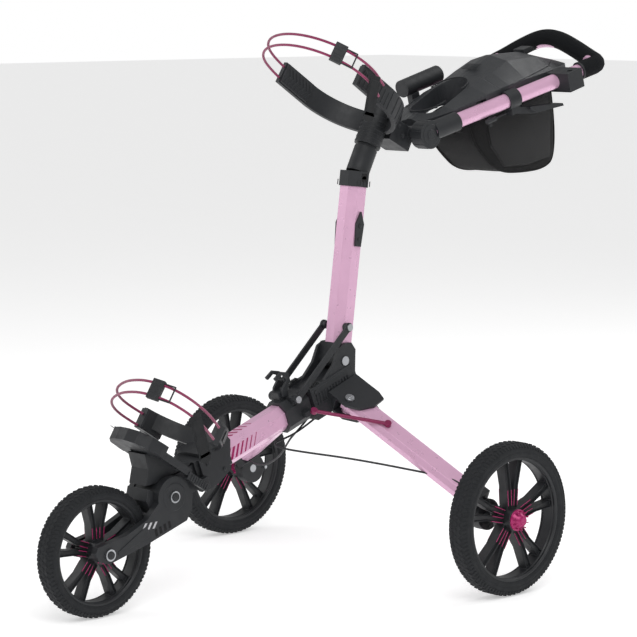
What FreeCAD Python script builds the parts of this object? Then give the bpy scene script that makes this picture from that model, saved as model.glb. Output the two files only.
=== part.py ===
"""Three-wheeled golf push cart: folding keel, upright and legs, two bag cradles,
a handle with a console, and an accessory bag.

All sizes are millimetres and degrees.  +Z is up, +Y points from the front wheel
towards the handle, and +X is the right-hand side.  The origin lies on the ground,
half-way along the cart.
"""

import FreeCAD, Part
import math
import os
import Sketcher
from FreeCAD import Placement, Rotation, Vector

doc = FreeCAD.newDocument("push_cart")

SIZES = [
    # (name, number, meaning)
    ("rear_axle_y", 118.3, "rear axle behind the origin"),
    ("track_half", 394.0, "middle plane of a rear wheel from the cart's middle"),
    ("rear_radius", 146.0, "rear tyre, outside"),
    ("rear_opening", 112.5, "rear rim, inside of its outer ring"),
    ("front_radius", 120.7, "front tyre, outside"),
    ("front_opening", 92.0, "front rim, inside of its outer ring"),
    ("front_axle_y", -675.9, "front axle from the rear axle"),
    ("tyre_width", 46.0, "all tyres"),
    ("tyre_crown", 30.0, "flat of the tread"),
    ("tyre_shoulder", 9.0, "height of the tyre's rounded shoulder"),
    ("ring_wall", 5.5, "rim's outer ring"),
    ("hub_radius", 22.0, "rim's hub"),
    ("hub_length", 48.0, "rim's hub, end to end"),
    ("spoke_depth", 22.0, "spoke along the axle"),
    ("spoke_width", 11.0, "one spoke of a pair"),
    ("spoke_spread", 17.0, "spoke's outer end from the pair's middle line"),
    ("axle_radius", 8.0, "all wheel axles"),
    ("shaft_gap", 0.05, "radial play of a turning shaft"),
    ("side_gap", 0.5, "play beside a turning piece"),
    ("cap_radius", 20.0, "hub cap at the hub"),
    ("cap_nose", 9.0, "hub cap at its nose"),
    ("cap_height", 14.0, "hub cap, hub to nose"),
    ("knuckle_y", -523.0, "fork hinge from the rear axle"),
    ("knuckle_z", 207.0, "fork hinge above the ground"),
    ("knuckle_radius", 36.0, "round end of the fork"),
    ("keel_slope", 20.0, "keel above level"),
    ("keel_width", 46.0, "keel across"),
    ("keel_height", 50.0, "keel, top to bottom"),
    ("keel_corner", 13.0, "keel's cut corners"),
    ("keel_wall", 2.5, "keel's wall"),
    ("keel_start", 118.0, "keel's front end from the fork hinge"),
    ("keel_end", 492.0, "keel's back end from the fork hinge"),
    ("slide_gap", 0.4, "collar around the keel"),
    ("collar_start", 318.0, "collar's front face from the fork hinge"),
    ("collar_length", 62.0, "collar along the keel"),
    ("collar_wall", 6.0, "collar's wall"),
    ("hinge_y", -78.0, "upright's hinge from the rear axle"),
    ("hinge_z", 415.0, "upright's hinge above the ground"),
    ("hinge_pin_radius", 6.0, "upright's hinge pin"),
    ("upright_lean", 7.6, "upright behind vertical"),
    ("upright_back", 9.0, "upright tube's middle behind its hinge"),
    ("upright_width", 50.0, "upright, across flats"),
    ("upright_corner", 14.0, "upright's cut corners"),
    ("upright_wall", 2.5, "upright's wall"),
    ("upright_start", 32.0, "upright's lower end from its hinge"),
    ("upright_end", 338.0, "upright's upper end from its hinge"),
    ("link_side", 33.0, "inner face of a link arm from the middle"),
    ("link_width", 13.0, "link arm's flat"),
    ("link_thick", 4.0, "link arm"),
    ("link_s", 29.0, "link arm's lower pivot behind the collar's front"),
    ("link_n", 29.0, "link arm's lower pivot above the keel's middle line"),
    ("link_length", 186.7, "link arm, pivot to pivot"),
    ("link_turn", 22.9, "link arm above the keel"),
    ("leg_top_x", 45.0, "leg's upper end, out from the middle"),
    ("leg_top_y", -85.0, "leg's upper end from the rear axle"),
    ("leg_top_z", 345.0, "leg's upper end above the ground"),
    ("leg_foot_x", 355.0, "leg's lower end, out from the middle"),
    ("leg_foot_y", -10.0, "leg's lower end from the rear axle"),
    ("leg_foot_z", 158.0, "leg's lower end above the ground"),
    ("leg_width", 48.0, "leg's wide flat"),
    ("leg_thick", 28.0, "leg's narrow way"),
    ("leg_corner", 8.0, "leg's cut corners"),
    ("leg_start", 6.0, "leg tube's start along the leg"),
    ("leg_stop", 318.0, "leg tube's end along the leg"),
    ("leg_hinge_side", 14.0, "leg's hinge ahead of its middle line"),
    ("leg_bolt_radius", 5.0, "leg's hinge bolt"),
    ("bracket_gap", 0.5, "play between a leg and its bracket"),
    ("bracket_plate", 5.0, "leg bracket's plates"),
    ("drum_radius", 30.0, "hub bracket's round plate"),
    ("drum_inner", 322.0, "hub bracket's inner face from the middle"),
    ("drum_outer", 344.0, "hub bracket's outer face from the middle"),
    ("release_inner", 349.0, "release knob's inner face from the middle"),
    ("release_outer", 358.0, "release knob's outer face from the middle"),
    ("brake_offset", 30.0, "brake pin from the axle"),
    ("brake_pin_radius", 3.5, "brake pin"),
    ("fork_side", 30.0, "fork arm's inner face from the middle"),
    ("fork_thick", 14.0, "fork arm"),
    ("fork_arm_height", 30.0, "fork arm, top to bottom"),
    ("head_lean", 27.0, "head tube behind vertical"),
    ("head_y", -14.0, "head tube's foot from the rear axle"),
    ("head_z", 776.0, "head tube's foot above the ground"),
    ("head_radius", 19.0, "head tube"),
    ("head_length", 140.0, "head tube"),
    ("cradle_lean", 32.7, "upper cradle's axis behind vertical"),
    ("cradle_y", 50.0, "upper cradle's back from the rear axle"),
    ("cradle_z", 866.0, "upper cradle's back above the ground"),
    ("rest_y", -479.5, "lower cord's plane from the rear axle, at the cradle's tips"),
    ("rest_z", 327.5, "lower cord's plane above the ground, at the cradle's tips"),
    ("rest_drop", 66.0, "bag's foot below the lower cords"),
    ("lower_radius", 112.0, "lower cradle, outside"),
    ("lower_centre", -26.0, "lower cradle's middle from its tips"),
    ("cord_spacing", 24.0, "a bungee's two strands"),
    ("cradle_radius", 104.0, "upper cradle, inside"),
    ("cradle_wall", 9.0, "upper cradle's band"),
    ("cradle_height", 44.0, "upper cradle's band, along the bag"),
    ("cradle_depth", 196.0, "upper cradle, back to tips"),
    ("pad_thick", 5.0, "upper cradle's pads"),
    ("pad_length", 79.0, "upper cradle's pads"),
    ("handle_y", 75.0, "handle's pivot from the rear axle"),
    ("handle_z", 845.0, "handle's pivot above the ground"),
    ("handle_slope", 15.5, "handle above level"),
    ("pivot_y", 33.0, "handle's pin behind the handle frame's origin"),
    ("pivot_drop", 5.0, "handle's pin below the handle frame's origin"),
    ("handle_side", 60.5, "handle tube beside the frame's origin, out from the middle"),
    ("handle_spread", 9.54, "handle tubes' splay"),
    ("handle_reach", 480.0, "handle frame's origin to the tube's corners"),
    ("handle_radius", 15.0, "handle tube"),
    ("handle_bend", 38.0, "handle's corners"),
    ("handle_rise", -5.0, "handle tubes beside the frame's origin, above it"),
    ("handle_climb", 1.6, "handle tubes' own slope on the frame's"),
    ("handle_arch", 53.0, "middle of the cross bar above the tubes"),
    ("handle_back", 23.0, "middle of the cross bar behind its corners"),
    ("grip_radius", 18.5, "foam grip"),
    ("grip_start", 430.0, "foam grip's start behind the frame's origin"),
    ("socket_radius", 28.0, "handle's pivot housing"),
    ("socket_width", 30.0, "handle's pivot housing, along its pin"),
    ("socket_side", 52.0, "handle's pivot housing from the middle"),
    ("socket_reach", 112.0, "end of the sleeves that hold the handle's tubes"),
    ("console_wall", 3.0, "console's wall"),
    ("lid_start", 236.0, "lid's hinge from the handle's pivot"),
    ("lid_seat", 25.0, "lid's lower edge above the handle's pivot"),
    ("lid_gap", 0.5, "play round the lid"),
    ("cup_radius", 42.0, "console's cup opening"),
    ("cup_start", 124.0, "cup opening's first centre from the handle's pivot"),
    ("cup_stop", 182.0, "cup opening's second centre from the handle's pivot"),
    ("bag_half", 60.0, "accessory bag's half width"),
    ("umbrella_radius", 18.0, "umbrella holder"),
    ("umbrella_wall", 3.0, "umbrella holder's wall"),
    ("umbrella_length", 108.0, "umbrella holder"),
    ("umbrella_start", 163.0, "umbrella holder's foot behind the handle frame's origin"),
    ("umbrella_high", 43.0, "umbrella holder's middle above the handle frame's origin"),
    ("clamp_bore", 6.5, "accessory clamp's socket"),
    ("bungee_radius", 2.5, "bungee cord"),
    ("cable_radius", 1.5, "brake cable"),
]

sheet = doc.addObject("Spreadsheet::Sheet", "Sizes")
for row, (name, number, meaning) in enumerate(SIZES, 1):
    sheet.set(f"A{row}", name)
    sheet.set(f"B{row}", str(number))
    sheet.set(f"C{row}", meaning)
    sheet.setAlias(f"B{row}", name)
doc.recompute()


class Size:
    """A number with the text that binds a property to the cells it comes from."""

    def __init__(self, number, text):
        self.number = number
        self.text = text

    def __float__(self):
        return self.number

    def __add__(self, other):
        return Size(self.number + float(other), f"({self.text} + {words(other)})")

    def __radd__(self, other):
        return self + other

    def __sub__(self, other):
        return Size(self.number - float(other), f"({self.text} - {words(other)})")

    def __rsub__(self, other):
        return Size(float(other) - self.number, f"({words(other)} - {self.text})")

    def __mul__(self, other):
        return Size(self.number * float(other), f"({self.text} * {words(other)})")

    def __rmul__(self, other):
        return self * other

    def __truediv__(self, other):
        return Size(self.number / float(other), f"({self.text} / {words(other)})")

    def __neg__(self):
        return Size(-self.number, f"(0 - {self.text})")


def words(value):
    """The text of a size, or of a plain number, for an expression."""
    return value.text if isinstance(value, Size) else f"{value:.6f}"


class Cells:
    """The spreadsheet's cells by name."""


cells = Cells()
for name, number, meaning in SIZES:
    setattr(cells, name, Size(float(sheet.get(name)), f"Sizes.{name}"))
c = cells

NODES = []


# ---- helpers ---------------------------------------------------------------

def bind(thing, prop, size):
    """Set a property to a number, or tie it to the cells."""
    if isinstance(size, Size):
        thing.setExpression(prop, size.text)
    else:
        setattr(thing, prop, size)


def stand(thing, base, rotation=Rotation()):
    """Put an object at a base point whose coordinates may be tied to the cells."""
    thing.Placement = Placement(Vector(*[float(value) for value in base]), rotation)
    for axis, value in zip("xyz", base):
        if isinstance(value, Size):
            thing.setExpression(f"Placement.Base.{axis}", value.text)
    return thing


def lean(angle):
    """A turn about the cart's X axis."""
    return Rotation(Vector(1, 0, 0), float(angle))


ALONG = {
    "X": Rotation(Vector(0, 1, 0), 90),
    "Y": Rotation(Vector(1, 0, 0), -90),
    "Z": Rotation(),
}


def rod(radius, length, base, axis="X"):
    """A cylinder from its base point along one axis."""
    thing = doc.addObject("Part::Cylinder", "Rod")
    bind(thing, "Radius", radius)
    bind(thing, "Height", length)
    return stand(thing, base, ALONG[axis])


def cone(radius, end_radius, length, base, axis="X"):
    """A cone from its base point along one axis."""
    thing = doc.addObject("Part::Cone", "Cone")
    bind(thing, "Radius1", radius)
    bind(thing, "Radius2", end_radius)
    bind(thing, "Height", length)
    return stand(thing, base, ALONG[axis])


def block(base, length, width, height, turn=0):
    """A box from its lowest corner, turned about X at that corner."""
    thing = doc.addObject("Part::Box", "Block")
    bind(thing, "Length", length)
    bind(thing, "Width", width)
    bind(thing, "Height", height)
    return stand(thing, base, lean(turn))


def fuse(*things):
    """One solid, or a group, from several."""
    if len(things) == 1:
        return things[0]
    whole = doc.addObject("Part::MultiFuse", "Joined")
    whole.Shapes = list(things)
    whole.Refine = True
    return whole


def cut(base, *tools):
    """The base with the tools' volumes taken away."""
    result = doc.addObject("Part::Cut", "Carved")
    result.Base = base
    result.Tool = fuse(*tools)
    result.Refine = True
    return result


def node(thing, label, frame=None):
    """Name a finished sub-part and set it in its frame."""
    thing.Label = label
    if frame:
        stand(thing, *frame)
    NODES.append(thing)
    return thing


def set_in(frame, *things):
    """Pieces made in a frame's own axes, joined and put where that frame is."""
    if len(things) == 1:
        group = doc.addObject("Part::Compound", "Placed")
        group.Links = list(things)
    else:
        group = fuse(*things)
    return stand(group, *frame)


def nested(frame, x, y, z, turn=0.0):
    """A frame at a point of another frame, turned further about X."""
    base, rotation = frame
    outer = Placement(Vector(*[float(value) for value in base]), rotation)
    inner = outer.multiply(Placement(Vector(float(x), float(y), float(z)), lean(turn)))
    return (tuple(inner.Base), inner.Rotation)


def mirror(label, source):
    """The left-hand twin of a right-hand sub-part."""
    twin = doc.addObject("Part::Mirroring", "Twin")
    twin.Source = source
    twin.Base = Vector(0, 0, 0)
    twin.Normal = Vector(1, 0, 0)
    return node(twin, label)


def both_sides(thing):
    """A piece and its mirror image as one group."""
    twin = doc.addObject("Part::Mirroring", "Twin")
    twin.Source = thing
    twin.Base = Vector(0, 0, 0)
    twin.Normal = Vector(1, 0, 0)
    return fuse(thing, twin)


def new_body(name):
    """A body for sketched features."""
    return doc.addObject("PartDesign::Body", name)


def sketch(body, plane, offset, *outlines):
    """Closed outlines on one of the body's planes; every corner tied to the cells.

    An outline is a list of corners, or (centre, radius) for a circle.
    """
    page = body.newObject("Sketcher::SketchObject", "Outline")
    planes = {item.Role: item for item in body.Origin.OriginFeatures}
    page.AttachmentSupport = [(planes[plane], "")]
    page.MapMode = "FlatFace"
    bind_offset(page, offset)
    for outline in outlines:
        if isinstance(outline, tuple):
            draw_circle(page, *outline)
        else:
            draw_corners(page, outline)
    return page


def bind_offset(page, offset):
    """Move a sketch along its plane's normal."""
    page.AttachmentOffset = Placement(Vector(0, 0, float(offset)), Rotation())
    if isinstance(offset, Size):
        page.setExpression("AttachmentOffset.Base.z", offset.text)


def dimension(page, kind, item, point, value):
    """One coordinate or radius of a sketch, tied to the cells where it is a size."""
    if kind == "Radius":
        index = page.addConstraint(Sketcher.Constraint(kind, item, float(value)))
    else:
        index = page.addConstraint(
            Sketcher.Constraint(kind, -1, 1, item, point, float(value))
        )
    if isinstance(value, Size):
        page.setExpression(f"Constraints[{index}]", value.text)


def draw_corners(page, corners):
    """A closed outline of straight sides."""
    spots = [Vector(float(a), float(b), 0) for a, b in corners]
    first = page.GeometryCount
    for spot, after in zip(spots, spots[1:] + spots[:1]):
        page.addGeometry(Part.LineSegment(spot, after), False)
    count = len(spots)
    for step in range(count):
        here, after = first + step, first + (step + 1) % count
        page.addConstraint(Sketcher.Constraint("Coincident", here, 2, after, 1))
    for step, (a, b) in enumerate(corners):
        dimension(page, "DistanceX", first + step, 1, a)
        dimension(page, "DistanceY", first + step, 1, b)


def draw_circle(page, centre, radius):
    """A circle about a centre."""
    item = page.GeometryCount
    spot = Vector(float(centre[0]), float(centre[1]), 0)
    page.addGeometry(Part.Circle(spot, Vector(0, 0, 1), float(radius)), False)
    dimension(page, "DistanceX", item, 3, centre[0])
    dimension(page, "DistanceY", item, 3, centre[1])
    dimension(page, "Radius", item, 0, radius)


def pad(body, plane, offset, length, *outlines):
    """A pad of the outlines along the plane's normal."""
    feature = body.newObject("PartDesign::Pad", "Pad")
    feature.Profile = sketch(body, plane, offset, *outlines)
    bind(feature, "Length", length)
    return feature


def spin(body, outline):
    """A revolution about the body's X axis of an outline of (x, radius) corners."""
    page = sketch(body, "XY_Plane", 0, outline)
    feature = body.newObject("PartDesign::Revolution", "Turned")
    feature.Profile = page
    feature.ReferenceAxis = (page, ["H_Axis"])
    feature.Angle = 360
    return feature


def axis_of(body, role):
    """One of the body's own axes."""
    return [item for item in body.Origin.OriginFeatures if item.Role == role][0]


def round_edges(body, radius, way, reach):
    """Fillet the tip's straight edges that run along one way and are this long."""
    doc.recompute()
    tip = body.Tip
    names = []
    for index, edge in enumerate(tip.Shape.Edges, 1):
        if edge.Curve.TypeId != "Part::GeomLine":
            continue
        run = edge.Vertexes[-1].Point - edge.Vertexes[0].Point
        if abs(run.dot(way)) > 0.999 * run.Length and run.Length > float(reach):
            names.append(f"Edge{index}")
    feature = body.newObject("PartDesign::Fillet", "Rounded")
    feature.Base = (tip, names)
    bind(feature, "Radius", radius)
    return feature


def eight_sides(across, high, corner):
    """The outline of a tube with cut corners, about its middle."""
    a, b = across / 2, high / 2
    return [
        (a - corner, -b), (a, corner - b), (a, b - corner), (a - corner, b),
        (corner - a, b), (-a, b - corner), (-a, corner - b), (corner - a, -b),
    ]


def bent_path(points, radius_of):
    """Straight runs joined by tangent arcs; radius_of(corner, turn, before, after)."""
    edges, here = [], points[0]
    for index in range(1, len(points) - 1):
        corner, before, after = points[index], points[index - 1], points[index + 1]
        back, ahead = before - corner, after - corner
        turn = math.pi - back.getAngle(ahead)
        radius = radius_of(turn, back.Length, ahead.Length)
        setback = radius * math.tan(turn / 2)
        start = corner + back.normalize() * setback
        stop = corner + ahead.normalize() * setback
        inward = (back + ahead).normalize()
        middle = corner + inward * (radius / math.cos(turn / 2) - radius)
        edges.append(Part.LineSegment(here, start).toShape())
        edges.append(Part.Arc(start, middle, stop).toShape())
        here = stop
    edges.append(Part.LineSegment(here, points[-1]).toShape())
    return Part.Wire(edges)


def swept(name, path, radius):
    """A round bar along a path, with its volume compared with its length."""
    start = path.Edges[0]
    way = start.tangentAt(start.FirstParameter)
    ring = Part.Wire([Part.makeCircle(float(radius), start.valueAt(start.FirstParameter), way)])
    shape = path.makePipeShell([ring], True, False)
    expected = math.pi * float(radius) ** 2 * path.Length
    if abs(shape.Volume - expected) > 0.01 * expected:
        raise ValueError(f"{name}: swept volume {shape.Volume:.0f}, not {expected:.0f}")
    return shape


def easy_radius(turn, before, after):
    """The largest arc that leaves a short straight of each run of a cord."""
    return 0.45 * min(before, after) / math.tan(turn / 2)


def feature(label, shape):
    """A sub-part whose shape is made of its own edges, not of sketches or primitives."""
    thing = doc.addObject("Part::Feature", "Formed")
    thing.Shape = shape
    return node(thing, label)


# ---- frames ----------------------------------------------------------------

CART = ((0, c.rear_axle_y, 0), Rotation())
KEEL = ((0, c.rear_axle_y + c.knuckle_y, c.knuckle_z), lean(c.keel_slope))
UPRIGHT = ((0, c.rear_axle_y + c.hinge_y + c.upright_back, c.hinge_z), lean(-c.upright_lean))
HEAD = ((0, c.rear_axle_y + c.head_y, c.head_z), lean(-c.head_lean))
CRADLE = ((0, c.rear_axle_y + c.cradle_y, c.cradle_z), lean(-c.cradle_lean))
HANDLE = ((0, c.rear_axle_y + c.handle_y, c.handle_z), lean(c.handle_slope))
LOWER = ((0, c.rear_axle_y + c.rest_y, c.rest_z), lean(-c.cradle_lean))


# ---- wheels ----------------------------------------------------------------

def wheel(prefix, radius, opening, centre):
    """A tyre and a five-spoke rim turning about an axle along X."""
    half, crown, shoulder = c.tyre_width / 2, c.tyre_crown / 2, c.tyre_shoulder
    seat = opening + c.ring_wall
    tyre = new_body("Tyre")
    spin(tyre, [
        (3 - half, seat), (-half, seat + 4), (-half, radius - shoulder), (-crown, radius - 2),
        (-crown / 2, radius), (crown / 2, radius), (crown, radius - 2), (half, radius - shoulder),
        (half, seat + 4), (half - 3, seat),
    ])
    node(tyre, f"{prefix}tyre", centre)

    rim = new_body("Rim")
    bore = c.axle_radius + c.shaft_gap
    spin(rim, [
        (-c.hub_length / 2, bore), (-c.hub_length / 2, c.hub_radius),
        (c.hub_length / 2, c.hub_radius), (c.hub_length / 2, bore),
    ])
    root, tip = c.hub_radius - 3, opening + 1
    near, far, wide = 1.0, c.spoke_spread, c.spoke_width
    spokes = pad(
        rim, "YZ_Plane", -c.spoke_depth / 2, c.spoke_depth,
        [(near, root), (near + wide, root), (far + wide / 2, tip), (far - wide / 2, tip)],
        [(-near - wide, root), (-near, root), (wide / 2 - far, tip), (-wide / 2 - far, tip)],
    )
    pattern = rim.newObject("PartDesign::PolarPattern", "Spokes")
    pattern.Originals = [spokes]
    pattern.Axis = (axis_of(rim, "X_Axis"), [""])
    pattern.Angle = 360
    pattern.Occurrences = 5
    rim.Tip = pattern
    spin(rim, [
        (4 - half, opening), (4 - half, seat), (half - 4, seat), (half - 4, opening),
    ])
    node(rim, f"{prefix}rim", centre)


def hub_cap(label, centre):
    """The faceted cap over the end of a rear axle."""
    face = c.hub_length / 2
    nose = face + c.cap_height
    body = cone(c.cap_radius, c.cap_nose, c.cap_height, (face, 0, 0))
    return node(fuse(body, rod(c.cap_nose - 2, 2, (nose, 0, 0))), label, centre)


def rear_wheel_centre(side):
    """Where a rear wheel's middle lies."""
    return ((side * c.track_half, c.rear_axle_y, c.rear_radius), Rotation())


wheel("right_rear_", c.rear_radius, c.rear_opening, rear_wheel_centre(1))
hub_cap("right_rear_hub_cap", rear_wheel_centre(1))
right_wheel = NODES[-3:]
for piece in right_wheel:
    mirror(piece.Label.replace("right", "left"), piece)
FRONT = ((0, c.rear_axle_y + c.front_axle_y, c.front_radius), Rotation())
wheel("front_", c.front_radius, c.front_opening, FRONT)


# ---- keel ------------------------------------------------------------------

def keel_tube():
    """The pink tube between the front fork and the upright's hinge."""
    body = new_body("Keel")
    outer = eight_sides(c.keel_width, c.keel_height, c.keel_corner)
    wall = c.keel_wall
    inner = eight_sides(c.keel_width - 2 * wall, c.keel_height - 2 * wall, c.keel_corner - 1)
    tube = body.newObject("PartDesign::Pad", "Tube")
    tube.Profile = sketch(body, "XZ_Plane", -c.keel_start, outer, inner)
    tube.Reversed = True
    bind(tube, "Length", c.keel_end - c.keel_start)
    node(body, "keel_tube", KEEL)


def knuckle():
    """The fixed half of the fork hinge, in front of the keel."""
    half = c.fork_side - c.side_gap
    drum = rod(c.knuckle_radius, 2 * half, (-half, 0, 0))
    neck = block((6 - half, 0, -24), 2 * half - 12, c.keel_start, 50)
    socket = block((-half, 74, -29), 2 * half, c.keel_start - 74, 60)
    bore = rod(c.hinge_pin_radius + c.shaft_gap, 2 * half, (-half, 0, 0))
    node(cut(fuse(drum, neck, socket), bore), "fork_knuckle", KEEL)


def lower_rest():
    """The foot under the bag, its rails and levers, and the web that carries them."""
    low = -c.rest_drop - 14
    foot = new_body("Foot")
    pad(foot, "XY_Plane", low, 24, [
        (-58, -56), (-54, -84), (-36, -104), (-12, -111), (12, -111), (36, -104), (54, -84),
        (58, -56), (58, -44), (-58, -44),
    ])
    rail = block((46.5, -60, low), 8, 92, 14)
    lever = block((46.5, 28, low - 6), 10, 58, 14)
    ribs = [block((56.5, 36 + 6 * step, low - 5), 1.5, 3, 12) for step in range(8)]
    sides = both_sides(fuse(rail, lever, *ribs))
    web = new_body("Web")
    pad(web, "YZ_Plane", -24, 48, [
        (-40, 40), (-16, 34), (30, 31), (60, 26.5), (74, 31.5), (46, 44), (14, 74), (-2, 90),
        (-22, 96), (-24, 66),
    ])
    tie = both_sides(block((36, 62, -22), 10.5, 22, 22))
    rest = fuse(set_in(LOWER, foot, sides), set_in(KEEL, web, tie))
    node(cut(rest, set_in(KEEL, rod(c.knuckle_radius, 60, (-30, 0, 0)))), "lower_bag_rest")


def lower_cradle():
    """The open band that holds the bag's foot, its cord block and its side plates."""
    outer, inner, high = c.lower_radius, c.lower_radius - 8, 32
    centre = (0, c.lower_centre, -6)
    band = cut(
        rod(outer, high, centre, "Z"),
        rod(inner, high + 2, (0, c.lower_centre, -7), "Z"),
        block((-outer - 1, -3 * outer, -7), 2 * outer + 2, 3 * outer, high + 2),
    )
    face = block((-94, 0, -14), 2, 52, 38)
    holder = block((-112, -2, -16), 18, 54, 40)
    anchor = block((98, 0, -18), 12, 16, 38)
    plate = new_body("Plate")
    pad(plate, "YZ_Plane", c.fork_side - c.side_gap, 6.5, [
        (82, 31), (128, 31), (150, 67), (166, 34), (146, -20), (112, -31), (82, -31),
    ])
    root = block((c.keel_width / 2, c.keel_start, -14), 7, 42, 28)
    saddle = block((-36, 92, c.keel_height / 2 + 6), 72, 40, 8)
    knees = fuse(both_sides(plate), both_sides(root), saddle)
    room = block((-c.keel_width / 2, c.keel_start, -40), c.keel_width, 90, 40 + c.keel_height / 2)
    whole = fuse(set_in(LOWER, band, face, holder, anchor), set_in(KEEL, knees))
    node(cut(whole, set_in(KEEL, room)), "lower_cradle")


keel_tube()
knuckle()
lower_rest()
lower_cradle()


# ---- collar, links and the junction ----------------------------------------

LINK = nested(KEEL, 0, c.collar_start + c.link_s, c.link_n, c.link_turn)
PIVOT_RADIUS = 4.0


def collar():
    """The sleeve that slides along the keel when the cart folds."""
    gap, wall, start = c.slide_gap, c.collar_wall, c.collar_start
    body = new_body("Collar")
    sleeve = body.newObject("PartDesign::Pad", "Sleeve")
    outer = eight_sides(
        c.keel_width + 2 * (gap + wall), c.keel_height + 2 * (gap + wall), c.keel_corner + 2
    )
    inner = eight_sides(c.keel_width + 2 * gap, c.keel_height + 2 * gap, c.keel_corner)
    sleeve.Profile = sketch(body, "XZ_Plane", -start, outer, inner)
    sleeve.Reversed = True
    bind(sleeve, "Length", c.collar_length)
    side = c.keel_width / 2 + gap + wall
    pivot = start + c.link_s
    boss = rod(9, c.link_side - 0.4 - side + 3, (side - 3, pivot, c.link_n))
    lug = block((12, pivot - 9, 20), side - 12, 18, 16)
    ear = block((side - 1, start + 34, -12), 14, 20, 10)
    hole = rod(PIVOT_RADIUS + c.shaft_gap, 12, (side - 7, pivot, c.link_n))
    saddle = block((-9, start + 8, c.keel_height / 2 + gap + wall - 1), 18, 24, 18)
    bore = rod(PIVOT_RADIUS + c.shaft_gap, 20, (-10, start + 20, 44))
    inside = new_body("Inside")
    room = inside.newObject("PartDesign::Pad", "Room")
    room.Profile = sketch(inside, "XZ_Plane", -start, inner)
    room.Reversed = True
    bind(room, "Length", c.collar_length)
    bosses = both_sides(cut(fuse(boss, lug, ear), hole))
    node(cut(fuse(body, bosses, saddle), bore, inside), "sliding_collar", KEEL)


def transport_catch():
    """The pair of hooks on the collar that hold the folded cart shut."""
    at = c.collar_start
    hook = new_body("Hook")
    pad(hook, "YZ_Plane", 9.5, 5, [
        (at + 12, 40), (at + 26, 37), (at + 30, 50), (at + 42, 62), (at + 42, 78), (at + 26, 87),
        (at + 6, 81), (at + 9, 75), (at + 24, 80), (at + 34, 74), (at + 33, 65), (at + 18, 54),
    ])
    hooks = both_sides(hook)
    pin = rod(PIVOT_RADIUS, 29, (-14.5, at + 20, 44))
    bar = rod(3.5, 20, (-10, at + 34, 66))
    node(fuse(hooks, pin, bar), "transport_catch", KEEL)


def link_arms():
    """The two flat bars from the collar to the upright."""
    side, thick = c.link_side, c.link_thick
    bar = block((side, 0, -c.link_width / 2), thick, c.link_length, c.link_width)
    low = rod(9, thick, (side, 0, 0))
    top = rod(9, thick, (side, c.link_length, 0))
    holes = fuse(
        rod(PIVOT_RADIUS, thick + 2, (side - 1, 0, 0)),
        rod(PIVOT_RADIUS, thick + 2, (side - 1, c.link_length, 0)),
    )
    node(both_sides(cut(fuse(bar, low, top), holes)), "link_arms", LINK)
    low_screw = fuse(
        rod(PIVOT_RADIUS, thick + 5, (side - 5, 0, 0)), rod(7, 3, (side + thick, 0, 0))
    )
    top_screw = fuse(
        rod(PIVOT_RADIUS, thick, (side, c.link_length, 0)),
        rod(7, 3, (side + thick, c.link_length, 0)),
    )
    node(both_sides(fuse(low_screw, top_screw)), "link_screws", LINK)


HINGE = ((0, c.rear_axle_y + c.hinge_y, c.hinge_z), Rotation())
PIVOT = nested(HANDLE, 0, c.pivot_y, -c.pivot_drop)
LEVER_AT = 250.0
CLAMP_AT = 384.0
CHEEK = 26.0
CHEEK_THICK = 6.4


def leg_axes():
    """The right leg's own axes: along it, back across it, and out of its flat face."""
    top = Vector(float(c.leg_top_x), float(c.leg_top_y), float(c.leg_top_z))
    foot = Vector(float(c.leg_foot_x), float(c.leg_foot_y), float(c.leg_foot_z))
    along = (foot - top).normalize()
    back = Vector(0, 0.94, 0.34)
    back = (back - along * back.dot(along)).normalize()
    base = (c.leg_top_x, c.rear_axle_y + c.leg_top_y, c.leg_top_z)
    return base, Rotation(along, back, along.cross(back), "XYZ")


LEG = leg_axes()
LEG_HINGE_X = 16.0


def junction():
    """The moulding at the keel's back end: hinge cheeks, vents and leg brackets."""
    start = c.collar_start + c.collar_length + 4
    length = c.keel_end + 8 - start
    core = block((-35, start, -34), 70, length, 60)
    shoulder = both_sides(block((CHEEK + 0.5, start, 20), 8, length, 12))
    vents = [block((33, start + 8 + 8 * step, -6), 4, 4.5, 22) for step in range(12)]
    housing = set_in(KEEL, cut(fuse(core, shoulder), both_sides(fuse(*vents))))
    cheek = new_body("Cheek")
    pad(cheek, "YZ_Plane", CHEEK, CHEEK_THICK, [
        (-66, -44), (-30, -5), (-16, 26), (0, 34), (18, 34), (29, 20), (28, -22), (40, -56),
        (-30, -60),
    ])
    hole = rod(c.hinge_pin_radius + c.shaft_gap, 10, (CHEEK - 1, 0, 0))
    cheeks = set_in(HINGE, both_sides(cut(cheek, hole)))
    brackets = both_sides(set_in(LEG, leg_bracket()))
    above = set_in(KEEL, block((-CHEEK, start, 26), 2 * CHEEK, length + 20, 60))
    tube = new_body("TubeRoom")
    room = tube.newObject("PartDesign::Pad", "Space")
    room.Profile = sketch(
        tube, "XZ_Plane", -start, eight_sides(c.keel_width, c.keel_height, c.keel_corner)
    )
    room.Reversed = True
    bind(room, "Length", length - 8)
    stand(tube, *KEEL)
    node(cut(fuse(housing, cheeks, brackets), tube, above), "junction_housing")


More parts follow.
